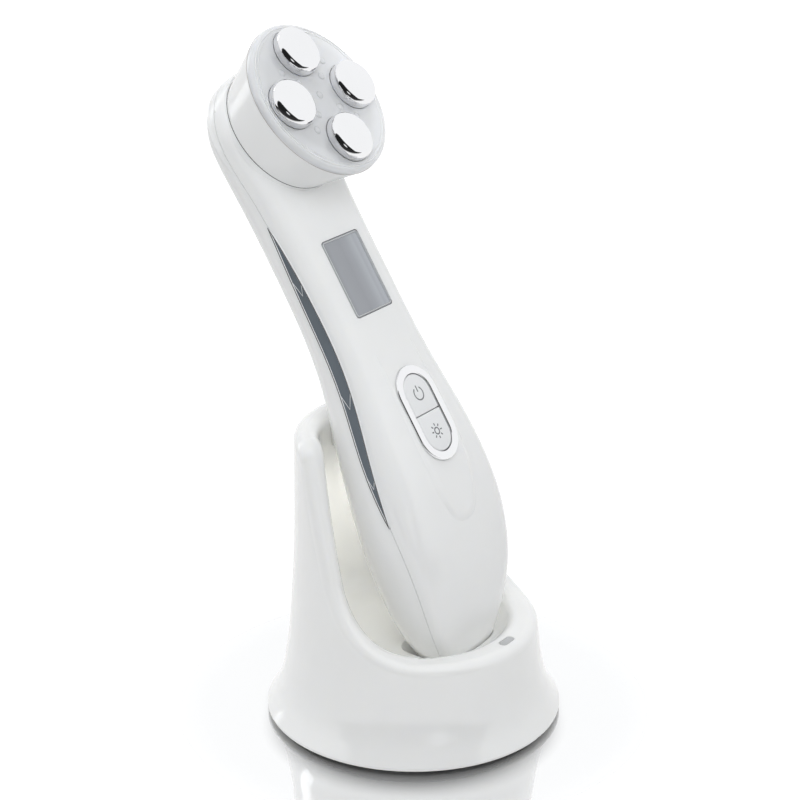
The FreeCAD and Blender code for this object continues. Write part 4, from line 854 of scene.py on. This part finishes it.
@dataclass
class Display:
    """The window in the front face with its bright bevelled frame."""

    bezel: Span = (0.5, 0.26)
    # Painted shadow: the section of the dark line round the window's recess.
    shadow_section: Span = (0.13, 0.16)
    corner: float = 1.4
    corner_steps: int = 6
    # Painted reflection on the display window: shares of its colour from left to right.
    glass_painted_reflection_across: tuple[Span, ...] = ((-9, 0.9), (-6, 1.06), (-1, 1.0), (2, 1.12), (5, 1.4), (6, 1.3), (9, 1.7))

    def dress(self) -> None:
        """Give the window, the panel and the holder their finishes."""
        DISPLAY_GLASS.dress("lcd_window")
        # Painted reflection: the window grows lighter from left to right.
        DISPLAY_GLASS.shade(self.glass_painted_reflection_across)
        DISPLAY_PANEL.dress("lcd_panel")
        BLACK_PLASTIC.dress("lcd_holder")

    def build(self) -> None:
        """Run the bezel round the window's edge, with a dark line of painted shadow outside it."""
        datum = face_datum("lcd_window")
        high = datum.span("lcd_window")[1]
        # The dark line outside the bezel is painted shadow at the edge of the window's recess.
        for name, section, inset, finish in (("display_bezel", self.bezel, self.bezel[0], BEZEL),
                                             ("display_gasket", self.shadow_section, -self.shadow_section[0] / 2, DARK_SEAM_AND_SHADOW)):
            path = self.rounded(high.x - inset, high.y - inset, self.corner - inset)
            spots = [datum.point(x, y, high.z) for x, y in path]
            place(sweep(name, spots, section, datum.out, finish), "handset", "display_glass")

    def rounded(self, reach_x: float, reach_y: float, corner: float) -> Outline:
        """Draw a rectangle with rounded corners."""
        path: Outline = []
        for right, upper, start in ((1, 1, 0), (-1, 1, 90), (-1, -1, 180), (1, -1, 270)):
            inner = right * (reach_x - corner), upper * (reach_y - corner)
            path += arc(*inner, corner, start, start + 90, self.corner_steps)
        return path


@dataclass
class ButtonPad:
    """The bright oval ring and the two half-oval buttons with their symbols."""

    band: float = 2.6
    gap: float = 0.2
    split: float = 0.2
    cap_edge: float = 0.45
    cap_corner: float = 0.5
    ring_edge: float = 0.35
    ring_crown: float = 0.07
    ring_soft_deg: float = 40.0
    corner_steps: int = 5
    cap_steps: int = 36
    ring_steps: int = 40
    symbol_rise: float = 0.02
    symbol_radius: float = 2.0
    sun_radius: float = 1.0
    stroke: float = 0.42
    power_arc: Span = (125.0, 415.0)
    power_bar: Span = (0.5, 2.5)
    sun_arc: Span = (0.0, 359.9)
    sun_ray: Span = (1.6, 2.4)
    ray_step: int = 45

    def dress(self) -> None:
        """Give the hidden stems and switches their finishes."""
        BLACK_PLASTIC.dress("power_stem", "light_stem", "power_switch", "light_switch")

    def build(self) -> None:
        """Make the ring, the two caps and their symbols."""
        datum = face_datum("button_ring")
        low, high = datum.span("button_ring")
        self.build_ring(datum, low, high)
        for name, side in (("power", 1), ("light", -1)):
            self.build_cap(datum, high, name, side)

    def build_ring(self, datum: Datum, low: Vector, high: Vector) -> None:
        """Loft the band from flat-topped sections round the oval.

        Args:
            datum: the frame of the button pad.
            low: the ring's near corner in that frame.
            high: its far corner.
        """
        half = self.band / 2
        reach = high.y - high.x
        edge = self.ring_edge
        shoulder = high.z - self.ring_crown - edge
        section = [(-half, low.z)] + arc(-half + edge, shoulder, edge, 180, 90, self.corner_steps) + [(0.0, high.z)]
        section += arc(half - edge, shoulder, edge, 90, 0, self.corner_steps) + [(half, low.z)]
        shape = bmesh.new()
        loops = []
        for offset, height in section:
            radius = high.x - half + offset
            path = arc(0, reach, radius, 0, 180, self.ring_steps) + arc(0, -reach, radius, 180, 360, self.ring_steps)
            loops.append(level(shape, path, height))
        bridge(shape, *loops, loops[0])
        mesh = mesh_from("bright_ring", shape, datum.matrix(), self.ring_soft_deg)
        place(new_piece("bright_ring", mesh, CHROME), "handset", "chrome", "button_ring")

    def build_cap(self, datum: Datum, high: Vector, name: str, side: int) -> None:
        """Make one half-oval cap and its symbol.

        Args:
            datum: the frame of the button pad.
            high: the ring's far corner in that frame.
            name: power or light.
            side: 1 for the upper cap, -1 for the lower one.
        """
        node = name + "_button"
        low_cap, high_cap = datum.span(node)
        width = high.x - self.band - self.gap
        reach = high.y - high.x
        outline = [(side * x, side * y) for x, y in self.half_oval(width, reach, self.split / 2)]
        cap = pillow(name + "_cap", outline, low_cap.z, high_cap.z, self.cap_edge, datum)
        place(new_piece(name + "_cap", cap, BUTTON_GREY), name + "_key", "grey_button", node)
        figures = self.power_sign if name == "power" else self.light_sign
        sign = self.strokes(name + "_sign", datum, figures(side * (reach + width) / 2), high_cap.z + self.symbol_rise)
        place(new_piece(name + "_sign", sign, INK), name + "_key", "black_plastic")

    def half_oval(self, width: float, reach: float, foot: float) -> Outline:
        """Draw the upper half of the oval with softened lower corners."""
        corner = self.cap_corner
        outline = arc(width - corner, foot + corner, corner, 270, 360, self.corner_steps)
        outline += arc(0, reach, width, 0, 180, self.cap_steps)
        return outline + arc(-width + corner, foot + corner, corner, 180, 270, self.corner_steps)

    def strokes(self, name: str, datum: Datum, figures: Sequence[Outline], height: float) -> Mesh:
        """Make thin flat figures from closed outlines.

        Args:
            name: the mesh's name.
            datum: the frame they lie in.
            figures: closed outlines in local millimetres, each one side out and the other side back.
            height: where they lie along the outward axis.

        Returns:
            One mesh of all of them.
        """
        shape = bmesh.new()
        for outline in figures:
            top = level(shape, outline, height)
            base = level(shape, outline, height - 2 * self.symbol_rise)
            bridge(shape, base, top)
            for i in range(len(top) // 2 - 1):
                k = len(top) - 1 - i
                shape.faces.new((top[i], top[i + 1], top[k - 1], top[k]))
                shape.faces.new((base[k], base[k - 1], base[i + 1], base[i]))
        return mesh_from(name, shape, datum.matrix(), None)

    def band_arc(self, y: float, radius: float, ends: Span) -> Outline:
        """Draw a bent bar along an arc between two angles."""
        half = self.stroke / 2
        return arc(0, y, radius + half, *ends, self.ring_steps) + arc(0, y, radius - half, *ends, self.ring_steps)[::-1]

    def bar(self, y: float, angle: float, ends: Span) -> Outline:
        """Draw a straight bar that points away from a centre."""
        along = Vector((math.cos(math.radians(angle)), math.sin(math.radians(angle))))
        side = Vector((-along.y, along.x)) * self.stroke / 2
        start, end = (Vector((0, y)) + along * reach for reach in ends)
        return [tuple(corner) for corner in (start + side, start - side, end - side, end + side)]

    def power_sign(self, y: float) -> list[Outline]:
        """Draw an open ring with a bar in its gap."""
        return [self.band_arc(y, self.symbol_radius, self.power_arc), self.bar(y, 90, self.power_bar)]

    def light_sign(self, y: float) -> list[Outline]:
        """Draw a small ring with rays."""
        rays = [self.bar(y, angle, self.sun_ray) for angle in range(0, 360, self.ray_step)]
        return [self.band_arc(y, self.sun_radius, self.sun_arc)] + rays


@dataclass
class Electronics:
    """What lies inside the handset and the stand, with the springs under the charge pins."""

    wire: float = 0.15
    coils: int = 5
    coil_points: int = 28
    pin_stroke: float = 1.0

    def dress(self) -> None:
        """Give every hidden node its finish."""
        SOLDER_GREEN.dress("main_board", "charge_board")
        STEEL.dress("board_screws")
        FOIL.dress("battery")
        FERRITE.dress("rf_core")
        COPPER.dress("rf_winding")
        BLACK_PLASTIC.dress("pin_holder")
        GILT.dress("charge_pin_left", "charge_pin_right")
        CLEAR.dress("indicator_led")

    def build(self) -> None:
        """Wind a spring under each charge pin."""
        datum = stand_datum()
        for side in ("left", "right"):
            node = "pin_spring_" + side
            low, high = datum.span(node)
            x, y = (low.x + high.x) / 2, (low.y + high.y) / 2
            radius = (high.y - low.y) / 2 - self.wire
            rise = high.z - low.z - 2 * self.wire
            steps = self.coils * self.coil_points
            chain = []
            for step in range(steps + 1):
                turn = math.tau * step / self.coil_points
                height = low.z + self.wire + rise * step / steps
                chain.append(datum.point(x + radius * math.cos(turn), y + radius * math.sin(turn), height))
            coil = sweep("coil_spring_" + side, chain, (self.wire, self.wire), datum.out, STEEL, closed=False)
            place(coil, "stand", "steel", node)
            anchor = tuple(datum.point(x, y, low.z))
            tuple(datum.out)
            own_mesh(coil)


# The stand

@dataclass
class Stand:
    """The stand's moulding, its base, feet, screws and inlet."""

    head_round: float = 0.35
    head_steps: int = 4
    head_least: float = 0.5
    recess_arm: float = 1.2
    recess_half: float = 0.27
    recess_depth: float = 0.75
    recess_taper: float = 0.8
    thread_radius: float = 1.05
    pin_radius: float = 0.65
    pin_steps: int = 5
    pin_share: Span = (0.35, 0.9)
    sides: int = 32

    def dress(self) -> None:
        """Give each node of the stand its finish."""
        STAND_WHITE.dress("stand_shell")
        SATIN_WHITE.dress("base_plate")
        BLACK_PLASTIC.dress("dc_jack")
        LIGHT_PIPE.dress("charge_indicator")
        RUBBER.dress("rubber_feet")

    def build(self) -> None:
        """Make the cross-headed base screws and the inlet's pin."""
        self.build_screws()
        self.build_pin()

    def build_screws(self) -> None:
        """Set a cross-headed screw in each corner of the base."""
        datum = stand_datum()
        low, high = datum.span("base_screws")
        spots = [vertex.co for vertex in frame["nodes"]["base_screws"].data.vertices]
        corners = [[spot for spot in spots if (spot.x > 0) == right and (spot.y > datum.origin.y) == back]
                   for right in (True, False) for back in (True, False)]
        places = []
        for corner in corners:
            reach = [(min(spot[i] for spot in corner), max(spot[i] for spot in corner)) for i in (0, 1)]
            places.append(Vector((sum(reach[0]) / 2, sum(reach[1]) / 2, low.z * MM)))
        head = (max(spot.x for spot in corners[0]) - min(spot.x for spot in corners[0])) / 2 / MM
        under = min(spot.z for spot in spots if spot.z > (low.z + self.head_least) * MM) / MM - low.z
        mesh = mesh_from("screw_pattern", self.screw(head, under, high.z - low.z),
                         Matrix.Rotation(math.pi, 4, "X") @ Matrix.Scale(MM, 4))
        place(set_on_points("cross_screws", mesh, places, STEEL), "stand", "steel", "base_screws")

    def screw(self, head: float, under: float, length: float) -> Shape:
        """Make a screw whose head has a cross recess, head upwards with its top at zero.

        Args:
            head: the head's radius.
            under: how far below the top the head ends.
            length: the whole length.

        Returns:
            The screw's shape in millimetres.
        """
        crown = arc(head - self.head_round, -self.head_round, self.head_round, 0, 90, self.head_steps)
        profile = [(0.0, -length), (self.thread_radius, -length), (self.thread_radius, -under), (head, -under)]
        shape = turned(profile + crown, self.sides)
        edges = [edge for edge in shape.edges if edge.is_boundary]
        arm, half = self.recess_arm, self.recess_half
        cross = []
        for cosine, sine in ((1, 0), (0, 1), (-1, 0), (0, -1)):
            quarter = ((arm, -half), (arm, half), (half, half))
            cross += [(x * cosine - y * sine, x * sine + y * cosine) for x, y in quarter]
        top = level(shape, cross, 0)
        floor = level(shape, [(x * self.recess_taper, y * self.recess_taper) for x, y in cross], -self.recess_depth)
        edges += [shape.edges.new(pair) for pair in zip(top, top[1:] + top[:1])]
        bridge(shape, top, floor)
        shape.faces.new(floor)
        bmesh.ops.triangle_fill(shape, edges=edges, use_beauty=True)
        return shape

    def build_pin(self) -> None:
        """Set the contact pin in the middle of the inlet."""
        datum = stand_datum()
        low, high = datum.span("dc_jack")
        start, end = (low.y + (high.y - low.y) * share for share in self.pin_share)
        tip = arc(0, end - self.pin_radius, self.pin_radius, 0, 90, self.pin_steps)[:-1] + [(0.0, end)]
        shape = turned([(0.0, start), (self.pin_radius, start)] + tip, self.sides)
        at = datum.matrix() @ Matrix.Translation((0, 0, (low.z + high.z) / 2)) @ Matrix.Rotation(-math.pi / 2, 4, "X")
        place(new_piece("inlet_pin", mesh_from("inlet_pin", shape, at), GILT), "stand", "gilt_brass")


# Light, floor and camera

@dataclass(frozen=True)
class Lamp:
    """A flat lamp: where it hangs, where it shines to, its size in metres and its power in watts."""

    name: str
    spot: Vector
    toward: Vector
    size: Span
    power: float
    tint: Triple
    mirrored: bool = False

    def hang(self) -> None:
        """Hang the lamp, shown by polished surfaces only if it is a mirrored one."""
        light = bpy.data.lights.new(self.name, "AREA")
        light.shape = "RECTANGLE"
        light.size, light.size_y = self.size
        light.energy = self.power
        light.color = self.tint
        lamp = bpy.data.objects.new(self.name, light)
        bpy.context.scene.collection.objects.link(lamp)
        lamp.location = self.spot
        lamp.rotation_euler = self.toward.to_track_quat("-Z", "Y").to_euler()
        lamp.visible_glossy = self.mirrored
        lamp.visible_camera = False


@dataclass
class Studio:
    """A white surround that is darker on the viewer's side, a polished floor, soft lamps and the camera."""

    azimuth_deg: float = -55.37
    pitch_deg: float = 21.24
    reach: Triple = (-0.51919, -0.35350, 0.34403)
    lens_mm: float = 103.4
    sensor_mm: float = 36.0
    clip_start: float = 0.01
    diffuse_bounces: int = 14
    all_bounces: int = 18
    light_tint: Triple = (0.985, 0.993, 1.0)
    lamp_tint: Triple = (0.96, 0.98, 1.0)
    lamp_aim: Triple = (0.0, 0.0, 0.1)
    key_lift_deg: float = 10.0
    key_turn_deg: float = -6.0
    key_reach: float = 0.8
    glow_spot: Triple = (0.0, 14.5, 58.0)
    glow_toward: Triple = (0.0, 0.914, -0.407)
    glow_size: Span = (0.030, 0.032)
    glow_power: float = 0.0018
    glow_tint: Triple = (1.0, 0.985, 0.93)
    bright_side: float = 0.84
    viewer_side: float = 0.47
    viewer_cone_deg: Span = (25.0, 110.0)
    dark_turn_deg: float = 0.0
    dark_fall_deg: float = 30.0
    dark_cone_deg: Span = (59.0, 65.0)
    dark_level: float = 0.015
    glint_turn_deg: float = -20.0
    glint_fall_deg: float = 12.0
    glint_cone_deg: Span = (4.0, 11.0)
    floor_half: float = 6.0
    floor_glow: float = 0.36
    glow_fade: Span = (0.044, 0.047)
    far_fade: Span = (0.45, 1.1)
    floor_mirror: Span = (0.9, 0.06)
    mirror_fade: Span = (0.060, 0.10)
    # Painted contact shadow on the floor: how dark, over what distance, and how far it is shifted towards the viewer.
    painted_shadow_tone: Span = (0.2, 0.97)
    painted_shadow_fade: Span = (0.034, 0.047)
    painted_shadow_shift: float = 0.012
    floor_bounce: float = 0.66
    dusk_tone: Span = (1.0, 0.03)
    dusk_fade: Span = (0.10, 0.24)

    def build(self) -> None:
        """Set up the view, the floor, the world and the lamps."""
        scene = bpy.context.scene
        scene.view_settings.view_transform = "Standard"
        scene.cycles.max_bounces = self.all_bounces
        scene.cycles.diffuse_bounces = self.diffuse_bounces
        self.build_camera(scene)
        self.build_world(scene)
        self.build_floor()
        self.build_lamps()

    def build_camera(self, scene: bpy.types.Scene) -> None:
        """Stand the camera where the photograph was taken from."""
        lens = bpy.data.cameras.new("view")
        lens.lens = self.lens_mm
        lens.sensor_width = self.sensor_mm
        lens.clip_start = self.clip_start
        camera = bpy.data.objects.new("view", lens)
        scene.collection.objects.link(camera)
        camera.location = stand_datum().origin + Vector(self.reach)
        camera.rotation_euler = (math.radians(90 - self.pitch_deg), 0, math.radians(self.azimuth_deg))
        scene.camera = camera

    def toward_viewer(self, lift_deg: float = 0.0, turn_deg: float = 0.0) -> Vector:
        """Give a direction near the one from the object to the camera.

        Args:
            lift_deg: how much higher it points.
            turn_deg: how far it is turned to the viewer's left.

        Returns:
            The unit direction.
        """
        lift = math.radians(self.pitch_deg + lift_deg)
        turn = math.radians(self.azimuth_deg - turn_deg)
        return Vector((math.sin(turn) * math.cos(lift), -math.cos(turn) * math.cos(lift), math.sin(lift)))

    def near(self, bench: NodeBench, toward: Vector, cone_deg: Span, ends: Span) -> Socket:
        """Make a value that changes smoothly with the angle from a direction.

        Args:
            bench: the world's tree.
            toward: the direction.
            cone_deg: the angle up to which the inner value holds, and the one from which the outer value does.
            ends: the outer value and the inner value.

        Returns:
            The value's socket.
        """
        look = bench.add("ShaderNodeTexCoord").outputs["Generated"]
        inner, outer = (math.cos(math.radians(angle)) for angle in cone_deg)
        return bench.spread(bench.vector("DOT_PRODUCT", look, toward)["Value"], (outer, inner), ends)

    def build_world(self, scene: bpy.types.Scene) -> None:
        """Make a white surround whose viewer's side is dim, and dark where bright metal mirrors it."""
        world = bpy.data.worlds.new("white_surround")
        world.use_nodes = True
        scene.world = world
        bench = NodeBench(world.node_tree)
        world.node_tree.nodes.clear()
        lit = self.near(bench, self.toward_viewer(), self.viewer_cone_deg, (self.bright_side, self.viewer_side))
        dark_way = self.toward_viewer(-self.dark_fall_deg, self.dark_turn_deg)
        room = self.near(bench, dark_way, self.dark_cone_deg, (1.0, self.dark_level))
        glint_way = self.toward_viewer(-self.glint_fall_deg, self.glint_turn_deg)
        glint = self.near(bench, glint_way, self.glint_cone_deg, (0.0, 1.0))
        path = bench.add("ShaderNodeLightPath").outputs
        sharp = bench.larger(path["Is Glossy Ray"], path["Is Transmission Ray"])
        white = bench.larger(path["Is Camera Ray"], path["Is Singular Ray"])
        seen = bench.mix(white, bench.mix(sharp, lit, bench.larger(room, glint)), 1.0)
        surround = bench.add("ShaderNodeBackground", {"Color": (*self.light_tint, 1), "Strength": seen})
        bench.add("ShaderNodeOutputWorld", {"Surface": surround.outputs["Background"]})

    def build_floor(self) -> None:
        """Lay the pale floor, polished round the stand, with painted shadow round the base, and dim far off on the
        viewer's side in bright metal.
        """
        half = self.floor_half
        mesh = bpy.data.meshes.new("floor")
        mesh.from_pydata([(-half, -half, 0), (half, -half, 0), (half, half, 0), (-half, half, 0)], [], [(0, 1, 2, 3)])
        tree = PALE_FLOOR.material().node_tree
        bench = NodeBench(tree)
        surface = tree.nodes["Principled BSDF"]
        offset = bench.vector("SUBTRACT", bench.place(), stand_datum().origin)["Vector"]
        away = bench.vector("LENGTH", offset)["Value"]
        # Painted shadow: the mirror's colour is darkened round the base, shifted towards the viewer, and the glow
        # starts only at the base's edge.
        shift = self.toward_viewer(-self.pitch_deg) * self.painted_shadow_shift
        painted_shadow_distance = bench.vector("DISTANCE", offset, shift)["Value"]
        glow = bench.larger(bench.spread(away, self.glow_fade, (0.0, self.floor_glow)),
                            bench.spread(away, self.far_fade))
        bench.feed(surface, {"Emission Color": (1, 1, 1, 1), "Emission Strength": glow})
        mirror = bench.add("ShaderNodeBsdfGlossy", {
            "Color": bench.spread(painted_shadow_distance, self.painted_shadow_fade, self.painted_shadow_tone),
            "Roughness": 0.0,
            "Normal": surface.inputs["Normal"].links[0].from_socket,
        })
        shine = bench.spread(away, self.mirror_fade, self.floor_mirror)
        polish = bench.mix_shaders(shine, surface.outputs["BSDF"], mirror.outputs["BSDF"])
        dusk_way = self.toward_viewer(-self.pitch_deg, self.dark_turn_deg)
        dusk = bench.spread(bench.vector("DOT_PRODUCT", offset, dusk_way)["Value"], self.dusk_fade, self.dusk_tone)
        shown = bench.add("ShaderNodeEmission", {"Strength": dusk})
        bounce = bench.add("ShaderNodeBsdfDiffuse", {"Color": (*(self.floor_bounce,) * 3, 1)})
        path = bench.add("ShaderNodeLightPath").outputs
        mirrored = bench.mix_shaders(path["Is Glossy Ray"], bounce.outputs["BSDF"], shown.outputs["Emission"])
        seen = bench.mix_shaders(path["Is Camera Ray"], mirrored, polish)
        bench.feed(tree.nodes["Material Output"], {"Surface": seen})
        new_piece("floor", mesh, PALE_FLOOR)

    def build_lamps(self) -> None:
        """Hang the soft lamps round the object and the small one in the bowl."""
        middle = stand_datum().origin + Vector(self.lamp_aim)
        key = self.toward_viewer(self.key_lift_deg, self.key_turn_deg) * self.key_reach
        lamps = (
            ("overhead", (0.10, 0.35, 1.0), (0.6, 0.6), 2.3, False),
            ("head_fill", (-0.15, -0.13, 0.21), (0.14, 0.14), 0.18, False),
            ("front_soft", (-0.20, -0.60, 0.75), (0.5, 0.5), 0.25, False),
            ("left_rim", (0.02, 0.92, 0.30), (0.25, 0.9), 0.8, True),
            ("side_box", (-0.90, 0.12, 0.22), (0.5, 0.6), 0.2, False),
            ("key", key, (0.45, 0.45), 0.65, False),
        )
        for name, offset, size, power, mirrored in lamps:
            Lamp(name, middle + Vector(offset), -Vector(offset), size, power, self.lamp_tint, mirrored).hang()
        Lamp("cradle_glow", stand_datum().point(*self.glow_spot), Vector(self.glow_toward), self.glow_size,
             self.glow_power, self.glow_tint).hang()


def main() -> None:
    """Build every sub-assembly in order."""
    logging.basicConfig(level=logging.INFO, format="%(name)s: %(message)s")
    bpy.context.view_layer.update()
    for part in (Shells(), ElectrodeHead(), Display(), ButtonPad(), Electronics(), Stand()):
        part.dress()
        part.build()
        LOG.info("finished %s", type(part).__name__)
    Studio().build()


if __name__ == "__main__":
    main()
